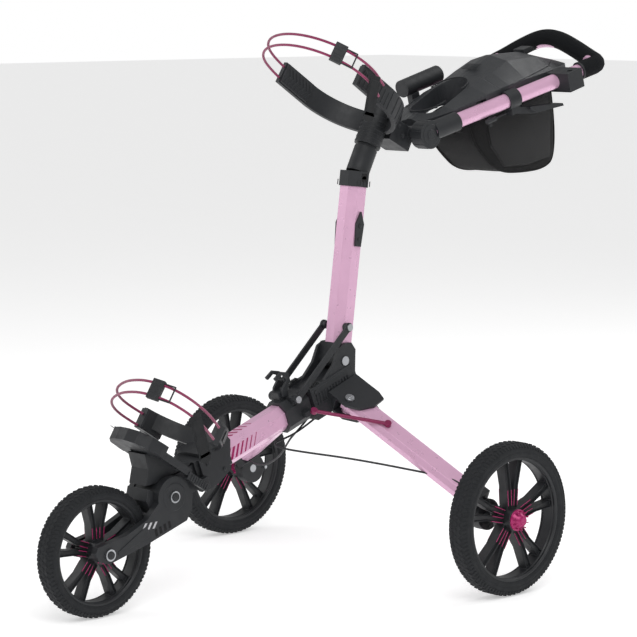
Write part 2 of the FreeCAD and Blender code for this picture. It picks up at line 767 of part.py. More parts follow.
def hinge_pins():
    """The pins of the fork, the upright and the legs."""
    reach = c.fork_side + c.fork_thick
    fork_pin = fuse(
        rod(c.hinge_pin_radius, 2 * reach + 2, (-reach - 1, 0, 0)),
        both_sides(rod(11, 3, (reach + c.side_gap, 0, 0))),
    )
    side = CHEEK + CHEEK_THICK
    upright_pin = fuse(
        rod(c.hinge_pin_radius, 2 * side, (-side, 0, 0)), both_sides(rod(9, 2.4, (side, 0, 0)))
    )
    half = c.leg_thick / 2 + c.bracket_gap + c.bracket_plate
    leg_pin = fuse(
        rod(c.leg_bolt_radius, 2 * half, (LEG_HINGE_X, -c.leg_hinge_side, -half), "Z"),
        rod(9, 3, (LEG_HINGE_X, -c.leg_hinge_side, half), "Z"),
        rod(9, 3, (LEG_HINGE_X, -c.leg_hinge_side, -half - 3), "Z"),
    )
    group = doc.addObject("Part::Compound", "Pins")
    group.Links = [
        set_in(KEEL, fork_pin), set_in(HINGE, upright_pin), both_sides(set_in(LEG, leg_pin)),
    ]
    node(group, "hinge_pins")


def leg_bracket():
    """Two plates and the web behind them, with the leg's hinge hole."""
    gap, plate = c.bracket_gap, c.bracket_plate
    half = c.leg_thick / 2 + gap
    outline = [(-22, -34), (24, -34), (48, -18), (60, 10), (58, 40), (40, 46), (-22, 46)]
    upper = new_body("UpperPlate")
    pad(upper, "XY_Plane", half, plate, outline)
    lower = new_body("LowerPlate")
    pad(lower, "XY_Plane", -half - plate, plate, outline)
    web = block((-22, -34, -half), 20, 80, 2 * half)
    hole = rod(
        c.leg_bolt_radius + c.shaft_gap, 2 * (half + plate) + 2,
        (LEG_HINGE_X, -c.leg_hinge_side, -half - plate - 1), "Z",
    )
    return cut(fuse(upper, lower, web), hole)


def leg():
    """The right leg's tube, with the bush of its hinge."""
    tube = new_body("Leg")
    outer = eight_sides(c.leg_width, c.leg_thick, c.leg_corner)
    inner = eight_sides(c.leg_width - 5, c.leg_thick - 5, c.leg_corner - 1)
    pad(tube, "YZ_Plane", c.leg_start, c.leg_stop - c.leg_start, outer, inner)
    low = -c.leg_thick / 2
    bush = rod(
        c.leg_bolt_radius + 5, c.leg_thick, (LEG_HINGE_X, -c.leg_hinge_side, low), "Z"
    )
    room = rod(
        c.leg_bolt_radius + c.shaft_gap, c.leg_thick + 2,
        (LEG_HINGE_X, -c.leg_hinge_side, low - 1), "Z",
    )
    right = node(cut(fuse(tube, bush), room), "right_leg", LEG)
    mirror("left_leg", right)


def hub_bracket():
    """The moulding between the right leg and its axle, with the brake pin's boss."""
    socket = set_in(LEG, block((c.leg_stop, -25, -16), 28, 50, 32))
    axle_at = (0, c.rear_axle_y, c.rear_radius)
    plate = rod(c.drum_radius, c.drum_outer - c.drum_inner, (c.drum_inner, *axle_at[1:]))
    pin_at = (c.drum_inner, c.rear_axle_y + c.brake_offset, c.rear_radius)
    boss = rod(9, 40, pin_at)
    pin_hole = rod(c.brake_pin_radius + c.shaft_gap, 60, (c.drum_inner - 10, *pin_at[1:]))
    bore = rod(c.axle_radius, 60, (c.drum_inner - 10, *axle_at[1:]))
    right = node(cut(fuse(socket, plate, boss), pin_hole, bore), "right_hub_bracket")
    mirror("left_hub_bracket", right)
    end = c.track_half + c.hub_length / 2 - 2
    sleeve = rod(13, 10, (c.release_outer + 1, *axle_at[1:]))
    shaft = rod(c.axle_radius, end - c.drum_inner, (c.drum_inner, *axle_at[1:]))
    right = node(fuse(shaft, sleeve), "right_axle")
    mirror("left_axle", right)
    width = c.release_outer - c.release_inner
    knob = rod(14, width, (c.release_inner, *axle_at[1:]))
    bars = [
        block((c.release_inner, c.rear_axle_y - 19, c.rear_radius - 5), width, 38, 10),
        block((c.release_inner, c.rear_axle_y - 5, c.rear_radius - 19), width, 10, 38),
    ]
    hole = rod(c.axle_radius + c.shaft_gap, width + 2, (c.release_inner - 1, *axle_at[1:]))
    right = node(cut(fuse(knob, *bars), hole), "right_wheel_release")
    mirror("left_wheel_release", right)
    right = node(rod(c.brake_pin_radius, 46, (c.drum_inner - 6, *pin_at[1:])), "right_brake_pin")
    mirror("left_brake_pin", right)


def tie_rod():
    """The plum-coloured rod that pulls the right leg in as the collar slides."""
    height = c.leg_thick / 2 + 5.2
    start, stop = Vector(-5, -94, float(height)), Vector(108, -4, float(height))
    run = stop - start
    way = Placement(start, Rotation(Vector(0, 0, 1), run))
    bar = doc.addObject("Part::Cylinder", "Rod")
    bar.Radius = 3.6
    bar.Height = run.Length
    bar.Placement = way
    ends = [rod(6.5, 8, (spot.x, spot.y, spot.z - 4), "Z") for spot in (start, stop)]
    whole = set_in(LEG, fuse(bar, *ends))
    right = node(whole, "right_tie_rod")
    mirror("left_tie_rod", right)


collar()
transport_catch()
link_arms()
junction()
hinge_pins()
leg()
hub_bracket()
tie_rod()


# ---- fork ------------------------------------------------------------------

FORK = ((0, c.rear_axle_y + c.knuckle_y, c.knuckle_z), Rotation())


def fork():
    """Two arms from the hinge to the front axle, with a guard between them."""
    rise = c.front_radius - c.knuckle_z
    reach = c.front_axle_y - c.knuckle_y
    arm = new_body("ForkArm")
    pad(arm, "YZ_Plane", c.fork_side, c.fork_thick, [
        (44, 8), (42, -28), (30, -48), (-60, -78), (reach, rise - 17), (reach - 24, rise - 10),
        (reach - 32, rise + 6), (reach - 26, rise + 17), (reach + 40, rise + 30), (-64, -34),
        (-30, 0), (-20, 20), (20, 20),
    ])
    disc = rod(c.knuckle_radius + 2, c.fork_thick, (c.fork_side, 0, 0))
    room = fuse(
        rod(c.hinge_pin_radius, c.fork_thick + 2, (c.fork_side - 1, 0, 0)),
        rod(c.axle_radius, c.fork_thick + 2, (c.fork_side - 1, reach, rise)),
    )
    right = node(cut(fuse(arm, disc), room), "right_fork_arm", FORK)
    mirror("left_fork_arm", right)
    guard = new_body("Guard")
    pad(guard, "YZ_Plane", -c.fork_side, 2 * c.fork_side, [
        (-50, 18), (-38, 12), (-37.5, -6), (-30, -23), (-40, -29), (-55, -4),
    ])
    node(guard, "fork_guard", FORK)
    end = c.fork_side + c.fork_thick
    shaft = rod(c.axle_radius, 2 * end, (-end, reach, rise))
    nuts = both_sides(rod(11, 4, (end, reach, rise)))
    sleeves = both_sides(rod(12, c.fork_side - c.hub_length / 2 - 0.5,
                             (c.hub_length / 2 + 0.5, reach, rise)))
    node(fuse(shaft, nuts, sleeves), "front_axle", FORK)


fork()


# ---- upright and head ------------------------------------------------------

def upright():
    """The pink upright tube, its foot, the links' bosses and the side bumpers."""
    width, wall = c.upright_width, c.upright_wall
    tube = new_body("Upright")
    outer = eight_sides(width, width, c.upright_corner)
    inner = eight_sides(width - 2 * wall, width - 2 * wall, c.upright_corner - 1)
    pad(tube, "XY_Plane", c.upright_start, c.upright_end - c.upright_start, outer, inner)
    node(tube, "upright_tube", UPRIGHT)
    wide = 2 * CHEEK - 1.0
    eye = set_in(HINGE, rod(16.5, wide, (-wide / 2, 0, 0)))
    neck = set_in(UPRIGHT, block((-wide / 2, -24, 0), wide, 38, c.upright_start))
    bore = set_in(HINGE, rod(c.hinge_pin_radius + c.shaft_gap, wide + 2, (-wide / 2 - 1, 0, 0)))
    node(cut(fuse(eye, neck), bore), "upright_foot")
    bump = new_body("Bumper")
    pad(bump, "YZ_Plane", width / 2, 5, [(-7, 222), (7, 222), (10, 266), (0, 290), (-10, 266)])
    boss = rod(8, c.link_side - 0.4 - width / 2, (width / 2, c.link_length, 0))
    group = doc.addObject("Part::Compound", "Fittings")
    group.Links = [set_in(UPRIGHT, both_sides(bump)), set_in(LINK, both_sides(boss))]
    node(group, "upright_fittings")


def head():
    """The moulded elbow on the upright with the head tube, and the bracket on it."""
    wide = c.upright_width + 6
    elbow = new_body("Elbow")
    pad(elbow, "XY_Plane", c.upright_end, 30, eight_sides(wide, wide, c.upright_corner + 2))
    stem = rod(c.head_radius + 4, 52, (0, 0, 0), "Z")
    tube = rod(c.head_radius, c.head_length, (0, 0, 0), "Z")
    node(fuse(set_in(UPRIGHT, elbow), set_in(HEAD, stem, tube)), "head_column")
    ring = rod(c.head_radius + 7, 58, (0, 0, 58), "Z")
    web = block((-32, 20, 84), 64, 60, 44)
    bore = rod(c.head_radius, 80, (0, 0, 50), "Z")
    clamp = set_in(HEAD, cut(fuse(ring, web), bore))
    inner = c.socket_side - c.side_gap
    shaft = rod(15, 2 * inner, (-inner, 0, 0))
    pins = both_sides(rod(8, c.socket_width + 1, (inner - 0.5, 0, 0)))
    node(fuse(clamp, set_in(PIVOT, shaft, pins)), "head_bracket")


def upper_cradle():
    """The open band that holds the bag's top, with its pads."""
    inner, wall, high = c.cradle_radius, c.cradle_wall, c.cradle_height
    outer = inner + wall
    centre = (0, -outer, -high / 2)
    depth = c.cradle_depth - outer
    band = cut(
        fuse(rod(outer, high, centre, "Z"),
             block((-outer, -outer - depth, -high / 2), 2 * outer, depth, high)),
        rod(inner, high + 2, (0, -outer, -high / 2 - 1), "Z"),
        block((-inner, -2 * outer, -high / 2 - 1), 2 * inner, outer, high + 2),
        block((-outer - 1, -3 * outer, -high / 2 - 1), 2 * outer + 2, 2 * outer - depth, high + 2),
    )
    ring = set_in(HEAD, rod(c.head_radius + 7, 200, (0, 0, 0), "Z"))
    web = set_in(HEAD, block((-32, 0, 84), 64, 80, 44))
    whole = cut(set_in(CRADLE, band), ring, web)
    node(whole, "upper_cradle")
    rest = block(
        (inner - c.pad_thick, -outer - depth + 2, 2 - high / 2), c.pad_thick, c.pad_length, high - 4
    )
    node(both_sides(rest), "cradle_pads", CRADLE)


upright()
head()
upper_cradle()


# ---- handle and console ----------------------------------------------------

def handle_points():
    """The handle tube's line on its right side, its corner and the middle of its bar."""
    splay = math.tan(math.radians(float(c.handle_spread)))
    climb = math.tan(math.radians(float(c.handle_climb)))
    side, rise, reach = float(c.handle_side), float(c.handle_rise), float(c.handle_reach)

    def along(distance):
        return Vector(side + splay * distance, distance, rise + climb * distance)

    corner = along(reach)
    top = Vector(0, reach + float(c.handle_back), corner.z + float(c.handle_arch))
    return along, corner, top


def handle_path(start):
    """The bent line of the handle from one distance along the right tube to the left's."""
    along, corner, top = handle_points()
    right = [along(start), corner]
    left = [Vector(-spot.x, spot.y, spot.z) for spot in reversed(right)]
    bends = iter((float(c.handle_bend), 150.0, float(c.handle_bend)))
    return bent_path([*right, top, *left], lambda turn, before, after: next(bends))


def on_tube(distance, side=1):
    """A frame on the handle tube's middle line, its Z along the tube."""
    along = handle_points()[0]
    spot, ahead = along(distance), along(distance + 1)
    way = ahead - spot
    spot = Vector(side * spot.x, spot.y, spot.z)
    way = Vector(side * way.x, way.y, way.z)
    return (tuple(spot), Rotation(Vector(0, 0, 1), way))


def tube_rod(radius, start, length, side=1):
    """A cylinder about the handle tube's middle line."""
    thing = rod(radius, length, (0, 0, 0), "Z")
    base, way = on_tube(start, side)
    thing.Placement = Placement(Vector(*base), way)
    return thing


def in_handle(shape):
    """A shape made in the handle's frame, put in its place."""
    base, rotation = HANDLE
    shape.Placement = Placement(Vector(*[float(value) for value in base]), rotation)
    return shape


def handle():
    """The bent tube, its foam grip and the pivot housings at its ends."""
    start = c.pivot_y + 19
    tube = swept("handle", handle_path(start), c.handle_radius)
    bore = swept("handle bore", handle_path(start - 1), float(c.handle_radius) - 2)
    feature("handle_tube", in_handle(tube.cut(bore)))
    held = handle_path(c.grip_start)
    foam = swept("grip", held, c.grip_radius).cut(swept("grip bore", held, c.handle_radius))
    feature("foam_grip", in_handle(foam))
    pivot = (c.pivot_y, -c.pivot_drop)
    eye = rod(c.socket_radius, c.socket_width, (c.socket_side, *pivot))
    sleeve = tube_rod(c.handle_radius + 4, start, c.socket_reach - start)
    room = tube_rod(c.handle_radius, start, c.socket_reach)
    pin = rod(8 + c.shaft_gap, c.socket_width + 8, (c.socket_side - 4, *pivot))
    node(both_sides(cut(fuse(eye, sleeve), room, pin)), "handle_sockets", HANDLE)


STATIONS = [
    # distance behind the handle's pivot, half width, edge, shoulder, middle height
    (62, 26, 8, 10, 14),
    (120, 72, 16, 30, 31),
    (200, 88, 24, 48, 47),
    (262, 92, 25, 52, 60),
    (313, 92, 22, 50, 71),
    (400, 90, 16, 48, 52),
    (466, 64, 10, 32, 20),
]


def console_form(inset):
    """The faceted dome of the console, or the room inside it."""
    body = new_body("Console")
    pages = []
    for along, half, edge, shoulder, middle in STATIONS:
        top, flank, w = middle - inset, middle * 0.84 - inset, half - inset
        pages.append(sketch(body, "XZ_Plane", -along, [
            (-w, inset), (w, inset), (w, edge - inset * 0.5 + 2), (shoulder, flank + 2), (6, top + 2),
            (-6, top + 2), (-shoulder, flank + 2), (-w, edge - inset * 0.5 + 2),
        ]))
    loft = body.newObject("PartDesign::AdditiveLoft", "Dome")
    loft.Profile = pages[0]
    loft.Sections = pages[1:]
    loft.Ruled = True
    return body


def console():
    """The tray between the handle's tubes and its lid."""
    wall = c.console_wall
    lid_room = block((-120, c.lid_start, c.lid_seat), 240, 300, 120)
    cup = fuse(
        rod(c.cup_radius, 160, (0, c.cup_start, -20), "Z"),
        rod(c.cup_radius, 160, (0, c.cup_stop, -20), "Z"),
        block((-c.cup_radius, c.cup_start, -20), 2 * c.cup_radius, c.cup_stop - c.cup_start, 160),
    )
    well = block((-62, c.lid_start + 14, wall), 124, 176, 80)
    beside = both_sides(fuse(
        tube_rod(c.handle_radius, c.pivot_y, c.handle_reach - c.pivot_y),
        tube_rod(c.handle_radius + 4.5, c.pivot_y, c.socket_reach + 1 - c.pivot_y),
        tube_rod(c.handle_radius + 4.5, LEVER_AT - 14.5, 29),
        tube_rod(c.handle_radius + 4.5, c.umbrella_start + 7.5, 25),
    ))
    node(cut(console_form(0), lid_room, cup, well, beside), "console_tray", HANDLE)
    above = block(
        (-120, c.lid_start + c.lid_gap, c.lid_seat + c.lid_gap), 240, 300, 120
    )
    common = doc.addObject("Part::Common", "LidForm")
    common.Base = console_form(0)
    common.Tool = above
    hollow = doc.addObject("Part::Common", "LidRoom")
    hollow.Base = console_form(wall)
    hollow.Tool = block((-60, c.lid_start + 12, 0), 120, 190, 64)
    node(cut(common, hollow), "console_lid", HANDLE)
    knob = fuse(block((-14, 404, 50), 28, 26, 8), rod(4, 30, (-15, 430, 52)))
    node(cut(knob, console_form(0)), "lid_latch", HANDLE)


def brake_lever():
    """The hand brake under the right tube: its mount with the adjuster, and the lever."""
    at = LEVER_AT
    spot = Vector(*on_tube(at)[0])
    ring = tube_rod(c.handle_radius + 4, at - 14, 28)
    room = tube_rod(c.handle_radius, at - 24, 48)
    low = spot.z - 23
    lug = block((spot.x - 9, at - 12, low - 7), 18, 24, 16)
    slot = block((spot.x - 4.4, at - 9, low - 15), 8.8, 31, 24)
    pin = rod(3, 20, (spot.x - 10, at, low))
    barrel = rod(5, 26, (spot.x - 3, at - 76, low - 2), "Y")
    cable = rod(1.2, 42, (spot.x - 3, at - 54, low - 2), "Y")
    mount = fuse(cut(fuse(ring, lug), room, slot, pin), rod(3, 18, (spot.x - 9, at, low)))
    node(fuse(mount, barrel, cable), "brake_lever_mount", HANDLE)
    lever = new_body("Lever")
    pad(lever, "YZ_Plane", spot.x - 4, 8, [
        (at - 1, low - 4), (at + 6, low + 4), (at + 40, low - 5), (at + 136, low - 27),
        (at + 138, low - 33), (at + 60, low - 25), (at + 10, low - 11),
    ])
    blade = new_body("Blade")
    pad(blade, "YZ_Plane", spot.x - 11, 22, [
        (at + 40, low - 5), (at + 136, low - 27), (at + 138, low - 33), (at + 60, low - 23),
        (at + 40, low - 11),
    ])
    hole = rod(3 + c.shaft_gap, 30, (spot.x - 15, at, low))
    eye = rod(7, 8, (spot.x - 4, at, low))
    node(cut(fuse(lever, blade, eye), hole), "brake_lever", HANDLE)


def accessories():
    """The clamp with its socket, the umbrella holder and the fabric bag."""
    at = CLAMP_AT
    centre = on_tube(at)[0][0]
    shell = block((centre - 20, at - 22, -17), 57, 44, 39)
    room = tube_rod(c.handle_radius, at - 40, 80)
    bore = rod(c.clamp_bore, 60, (centre + 24, at, -25), "Z")
    node(cut(shell, room, bore), "accessory_clamp", HANDLE)
    start, radius, high = c.umbrella_start, c.umbrella_radius, c.umbrella_high
    middle = on_tube(start + 20, -1)[0][0] - 20
    tube = rod(radius, c.umbrella_length, (middle, start, high), "Y")
    space = rod(radius - c.umbrella_wall, c.umbrella_length, (middle, start + 4, high), "Y")
    ring = tube_rod(c.handle_radius + 4, start + 8, 24, -1)
    post = block((middle + 2, start + 9, 4), 14, 22, high - c.umbrella_radius)
    hole = tube_rod(c.handle_radius, start - 10, 60, -1)
    node(cut(fuse(tube, ring, post), hole, space), "umbrella_holder", HANDLE)
    pouch = new_body("Pouch")
    pad(pouch, "YZ_Plane", -c.bag_half, 2 * c.bag_half, [
        (162, -4), (166, -60), (183, -94), (222, -146), (300, -170), (359, -180), (392, -168),
        (415, -75), (417, -4),
    ])
    round_edges(pouch, 9, Vector(1, 0, 0), 5)
    node(pouch, "accessory_bag", HANDLE)


handle()
console()
brake_lever()
accessories()


# ---- bungees ---------------------------------------------------------------

LOWER_CORD = [
    # one strand round the bag, seen along the bag, in the lower cradle's frame
    (-103, -3), (-109, -33), (-99, -74), (-66, -114), (-18, -148), (40, -178),
    (106, -193), (152, -172), (162, -132), (155, -88), (138, -44), (115, -4),
]
UPPER_CORD = [
    # the same in the upper cradle's frame
    (-108, -197), (-104, -230), (-86, -272), (-48, -304), (4, -320), (58, -316),
    (106, -290), (134, -250), (141, -206), (131, -166), (118, -138),
]


def bungee(prefix, frame, plan, clip, tab):
    """Two strands round the bag, the clip that joins them and the pull tab on them."""
    base, rotation = frame
    place = Placement(Vector(*[float(value) for value in base]), rotation)
    for name, high in (("upper", c.cord_spacing / 2), ("lower", -c.cord_spacing / 2)):
        path = bent_path([Vector(x, y, float(high)) for x, y in plan], easy_radius)
        strand = swept(f"{prefix}_{name}_strand", path, c.bungee_radius)
        print(f"{prefix} {name} strand: {path.Length:.0f} mm long")
        strand.Placement = place
        feature(f"{prefix}_{name}_strand", strand)
    before, after = plan[clip], plan[clip + 1]
    angle = math.degrees(math.atan2(after[1] - before[1], after[0] - before[0]))
    middle = Vector((before[0] + after[0]) / 2, (before[1] + after[1]) / 2, 0)
    high = c.cord_spacing / 2 + 7
    body = block((-14, -5, -high), 24, 10, 2 * high)
    wires = [
        block((10, -1.5, side - 1.25), 22, 3, 2.5) for side in (float(high) - 4, 4 - float(high))
    ]
    wires.append(block((30, -1.5, 4 - high), 2.5, 3, 2 * high - 8))
    holes = [rod(c.bungee_radius + 0.2, 40, (-20, 0, side * c.cord_spacing / 2)) for side in (1, -1)]
    clasp = cut(fuse(body, *wires), *holes)
    clasp_frame = place.multiply(Placement(middle, Rotation(Vector(0, 0, 1), angle)))
    side, (y, z), (low_y, low_z) = tab
    run = math.hypot(low_y - y, low_z - z)
    strap = block((side, 0, -13), 2.5, run, 26)
    turn = math.degrees(math.atan2(low_z - z, low_y - y))
    strap_frame = place.multiply(Placement(Vector(0, y, z), lean(turn)))
    group = doc.addObject("Part::Compound", "Fittings")
    group.Links = [
        set_in((tuple(clasp_frame.Base), clasp_frame.Rotation), clasp),
        set_in((tuple(strap_frame.Base), strap_frame.Rotation), strap),
    ]
    node(group, f"{prefix}_clip_and_tab")


bungee("lower_bungee", LOWER, LOWER_CORD, 6, (160, (-106, -8), (-34, -69)))
bungee("upper_bungee", CRADLE, UPPER_CORD, 6, (145, (-190, 2), (-160, -82)))


# ---- check and write -------------------------------------------------------

def finish():
    """Check every object, then write each sub-part as its own file."""
    doc.recompute()
    for thing in doc.Objects:
        if {"Invalid", "Error"} & set(thing.State):
            raise ValueError(f"{thing.Name} ({thing.Label}) is {thing.State}")
    os.makedirs("parts", exist_ok=True)
    for thing in NODES:
        shape = thing.Shape
        if shape.isNull() or not shape.isValid() or shape.Volume <= 0:
            raise ValueError(f"{thing.Label} has no valid shape")
    for thing in NODES:
        thing.Shape.exportStep(f"parts/{thing.Label}.step")
    print(len(NODES), "sub-parts written")


finish()
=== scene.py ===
"""Looks of a three-wheeled folding golf push cart: finishes for its moulded and painted
parts, and meshes for its tyres, rims, bungees, grip, pouch, cables and small trim."""

import math

import bmesh
import bpy
from mathutils import Matrix, Vector


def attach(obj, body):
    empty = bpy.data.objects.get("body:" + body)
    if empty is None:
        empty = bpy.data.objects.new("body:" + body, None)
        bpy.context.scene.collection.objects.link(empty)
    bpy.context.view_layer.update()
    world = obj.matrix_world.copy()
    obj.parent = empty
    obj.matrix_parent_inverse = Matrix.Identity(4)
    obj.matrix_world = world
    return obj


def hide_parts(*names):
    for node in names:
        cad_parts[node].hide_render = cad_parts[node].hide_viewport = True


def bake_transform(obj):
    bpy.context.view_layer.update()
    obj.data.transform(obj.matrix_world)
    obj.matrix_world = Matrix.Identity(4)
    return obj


bl_info = {
    "name": "Golf push cart",
    "version": (1, 0, 0),
    "blender": (4, 5, 0),
    "location": "View3D > Sidebar > Push cart",
    "description": "Builds the looks of a folding golf push cart around its fixed parts",
    "category": "Object",
}

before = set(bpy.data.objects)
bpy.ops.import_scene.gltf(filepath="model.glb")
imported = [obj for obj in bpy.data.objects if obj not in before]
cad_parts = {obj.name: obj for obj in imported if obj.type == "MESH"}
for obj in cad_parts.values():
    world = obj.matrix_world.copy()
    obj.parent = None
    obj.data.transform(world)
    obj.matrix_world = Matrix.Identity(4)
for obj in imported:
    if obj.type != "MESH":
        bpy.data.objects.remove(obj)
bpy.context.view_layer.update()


# ---- frames, the same as the fixed parts' -----------------------------------

def leaning(y, z, degrees):
    """A frame on the cart's middle plane, turned about its X axis."""
    return Matrix.Translation((0, y, z)) @ Matrix.Rotation(math.radians(degrees), 4, "X")


# Y and Z of each frame's foot in metres, and its lean in degrees
KEEL = leaning(-0.4047, 0.207, 20)
UPRIGHT = leaning(0.0493, 0.415, -7.6)
HEAD = leaning(0.1043, 0.776, -27)
CRADLE = leaning(0.1683, 0.866, -32.7)
HANDLE = leaning(0.1933, 0.845, 15.5)
LOWER = leaning(-0.3612, 0.3275, -32.7)
FORK = leaning(-0.4047, 0.207, 0)
MIRROR = Matrix.Diagonal((-1, 1, 1, 1))
X_AXIS = Matrix.Rotation(math.pi / 2, 4, "Y")
REAR_AXLE_Y, REAR_RADIUS, REAR_OPENING, TRACK_HALF = 0.1183, 0.146, 0.1125, 0.394
FRONT_AXLE_Y, FRONT_RADIUS, FRONT_OPENING = -0.5576, 0.1207, 0.092
RIM_RING = 0.0055
SOCKET_RADIUS, CUP_RADIUS, CUP_FRONT, CUP_BACK = 0.0282, 0.0425, 0.124, 0.182
SIDES = (("right", 1), ("left", -1))
WHEELS = (
    ("front_", "front_wheel", 0.0, FRONT_AXLE_Y, FRONT_RADIUS, FRONT_OPENING),
    ("right_rear_", "right_wheel", TRACK_HALF, REAR_AXLE_Y, REAR_RADIUS, REAR_OPENING),
    ("left_rear_", "left_wheel", -TRACK_HALF, REAR_AXLE_Y, REAR_RADIUS, REAR_OPENING),
)


def leg_frame(side):
    """A leg's own axes: along it, back across it, and out of its flat face."""
    top, foot = Vector((0.045, 0.0333, 0.345)), Vector((0.355, 0.1083, 0.158))
    along = (foot - top).normalized()
    back = Vector((0, 0.94, 0.34))
    back = (back - along * back.dot(along)).normalized()
    turned = Matrix((along, back, along.cross(back))).transposed().to_4x4()
    placed = Matrix.Translation(top) @ turned
    return placed if side > 0 else MIRROR @ placed


# ---- materials --------------------------------------------------------------

class Graph:
    """A material and short calls for its nodes."""

    def __init__(self, name):
        loaded = bpy.data.materials.get(name)
        if loaded:  # the frame brings a flat material of the same name
            bpy.data.materials.remove(loaded)
        self.material = bpy.data.materials.new(name)
        self.material.use_nodes = True
        self.tree = self.material.node_tree
        self.shader = self.tree.nodes["Principled BSDF"]
        coordinates = self.add("TexCoord").outputs
        self.place, self.surface = coordinates["Object"], coordinates["UV"]

    def add(self, kind, **settings):
        node = self.tree.nodes.new("ShaderNode" + kind)
        for key, value in settings.items():
            setattr(node, key, value)
        return node

    def link(self, source, target):
        self.tree.links.new(source, target)

    def scaled(self, scale, turn=(0, 0, 0)):
        """The coordinates stretched and turned."""
        mapping = self.add("Mapping")
        mapping.inputs["Scale"].default_value = scale
        mapping.inputs["Rotation"].default_value = [math.radians(angle) for angle in turn]
        self.link(self.place, mapping.inputs["Vector"])
        return mapping.outputs["Vector"]

    def noise(self, scale, detail=3.0, vector=None):
        node = self.add("TexNoise")
        node.inputs["Scale"].default_value = scale
        node.inputs["Detail"].default_value = detail
        self.link(vector or self.place, node.inputs["Vector"])
        return node.outputs["Fac"]

    def cells(self, scale, vector=None):
        node = self.add("TexVoronoi")
        node.inputs["Scale"].default_value = scale
        self.link(vector or self.place, node.inputs["Vector"])
        return node.outputs["Distance"]

    def bands(self, scale, way="X", vector=None):
        node = self.add("TexWave", bands_direction=way)
        node.inputs["Scale"].default_value = scale
        self.link(vector or self.place, node.inputs["Vector"])
        return node.outputs["Fac"]

    def math(self, operation, first, second):
        node = self.add("Math", operation=operation)
        for socket, value in zip(node.inputs, (first, second)):
            if isinstance(value, (int, float)):
                socket.default_value = value
            else:
                self.link(value, socket)
        return node.outputs["Value"]

    def between(self, source, low, high, start=0.3, stop=0.7):
        """A number that goes from low to high as the source goes from start to stop."""
        node = self.add("MapRange")
        for socket, value in zip(node.inputs[1:5], (start, stop, low, high)):
            socket.default_value = value
        self.link(source, node.inputs[0])
        return node.outputs[0]

    def colours(self, source, low, high):
        node = self.add("MixRGB")
        for socket, value in zip(node.inputs[1:3], (low, high)):
            if isinstance(value, tuple):
                socket.default_value = (*value, 1)
            else:
                self.link(value, socket)
        self.link(source, node.inputs[0])
        return node.outputs[0]

    def edge_wear_and_highlight(self, radius):
        """1 on outer edges and 0 on flats, a mask for edge wear and a painted highlight, and the
        softened normal.
        """
        soft = self.add("Bevel", samples=4)
        soft.inputs["Radius"].default_value = radius
        flat = self.add("NewGeometry")
        dot = self.add("VectorMath", operation="DOT_PRODUCT")
        self.link(soft.outputs["Normal"], dot.inputs[0])
        self.link(flat.outputs["Normal"], dot.inputs[1])
        return self.between(dot.outputs["Value"], 1, 0, 0.8, 0.98), soft.outputs["Normal"]

    def bump(self, height, distance, normal=None):
        node = self.add("Bump")
        node.inputs["Distance"].default_value = distance
        self.link(height, node.inputs["Height"])
        if normal:
            self.link(normal, node.inputs["Normal"])
        self.link(node.outputs["Normal"], self.shader.inputs["Normal"])

    def set(self, **values):
        for name, value in values.items():
            socket = self.shader.inputs[name.replace("_", " ")]
            if isinstance(value, (int, float)):
                socket.default_value = value
            elif isinstance(value, tuple):
                socket.default_value = (*value, 1)
            else:
                self.link(value, socket)


def lighter(colour, factor):
    """A colour times a number."""
    return tuple(min(part * factor, 1.0) for part in colour)


def moulded(name, colour, rough=0.5, grain=900.0, depth=0.00012, edge=2.6, metal=0.0):
    """Moulded plastic: fine grain, a little mottling, and edges that catch the light."""
    g = Graph(name)
    wear_and_highlight, normal = g.edge_wear_and_highlight(0.0012)
    mottled = g.colours(g.noise(28), lighter(colour, 0.88), lighter(colour, 1.14))
    # Edges lightened by the edge factor: edge wear and a painted highlight.
    shade = g.colours(wear_and_highlight, mottled, lighter(colour, edge))
    g.set(Base_Color=shade, Roughness=g.between(g.noise(60), rough - 0.07, rough + 0.08))
    g.set(Metallic=metal, Specular_IOR_Level=0.4)
    g.bump(g.noise(grain, 2), depth, normal)
    return g.material


def painted(name, colour, rough=0.3, metal=0.35):
    """Satin paint with fine flake on a drawn tube, paler where it turns to the light."""
    g = Graph(name)
    wear_and_highlight, normal = g.edge_wear_and_highlight(0.0015)
    flake = g.colours(g.cells(1500), lighter(colour, 0.94), lighter(colour, 1.06))
    facing = g.add("LayerWeight")
    facing.inputs["Blend"].default_value = 0.35
    sheen = g.colours(facing.outputs["Facing"], flake, lighter(colour, 1.12))
    # Edges lightened: edge wear and a painted highlight.
    g.set(Base_Color=g.colours(wear_and_highlight, sheen, lighter(colour, 1.25)), Metallic=metal)
    g.set(Roughness=g.between(g.noise(45), rough - 0.05, rough + 0.08))
    g.set(Coat_Weight=0.2, Coat_Roughness=0.18, Specular_IOR_Level=0.35)
    g.bump(g.noise(350, 4), 0.00006, normal)
    return g.material


def woven(name, colour, scale=520.0, depth=0.00035, sheen=0.35):
    """Cloth with crossed threads and a soft sheen."""
    g = Graph(name)
    over = g.bands(scale, "X", g.scaled((1, 1, 1), (0, 0, 45)))
    under = g.bands(scale, "Y", g.scaled((1, 1, 1), (45, 0, 0)))
    weave = g.math("MAXIMUM", over, under)
    shade = g.colours(weave, lighter(colour, 0.55), lighter(colour, 1.35))
    faded = g.colours(g.between(g.noise(35), 0, 0.35), shade, lighter(colour, 1.6))
    g.set(Base_Color=faded, Roughness=0.88, Sheen_Weight=sheen * 0.25, Sheen_Roughness=0.5)
    g.set(Specular_IOR_Level=0.1)
    g.bump(g.math("ADD", weave, g.noise(70)), depth)
    return g.material


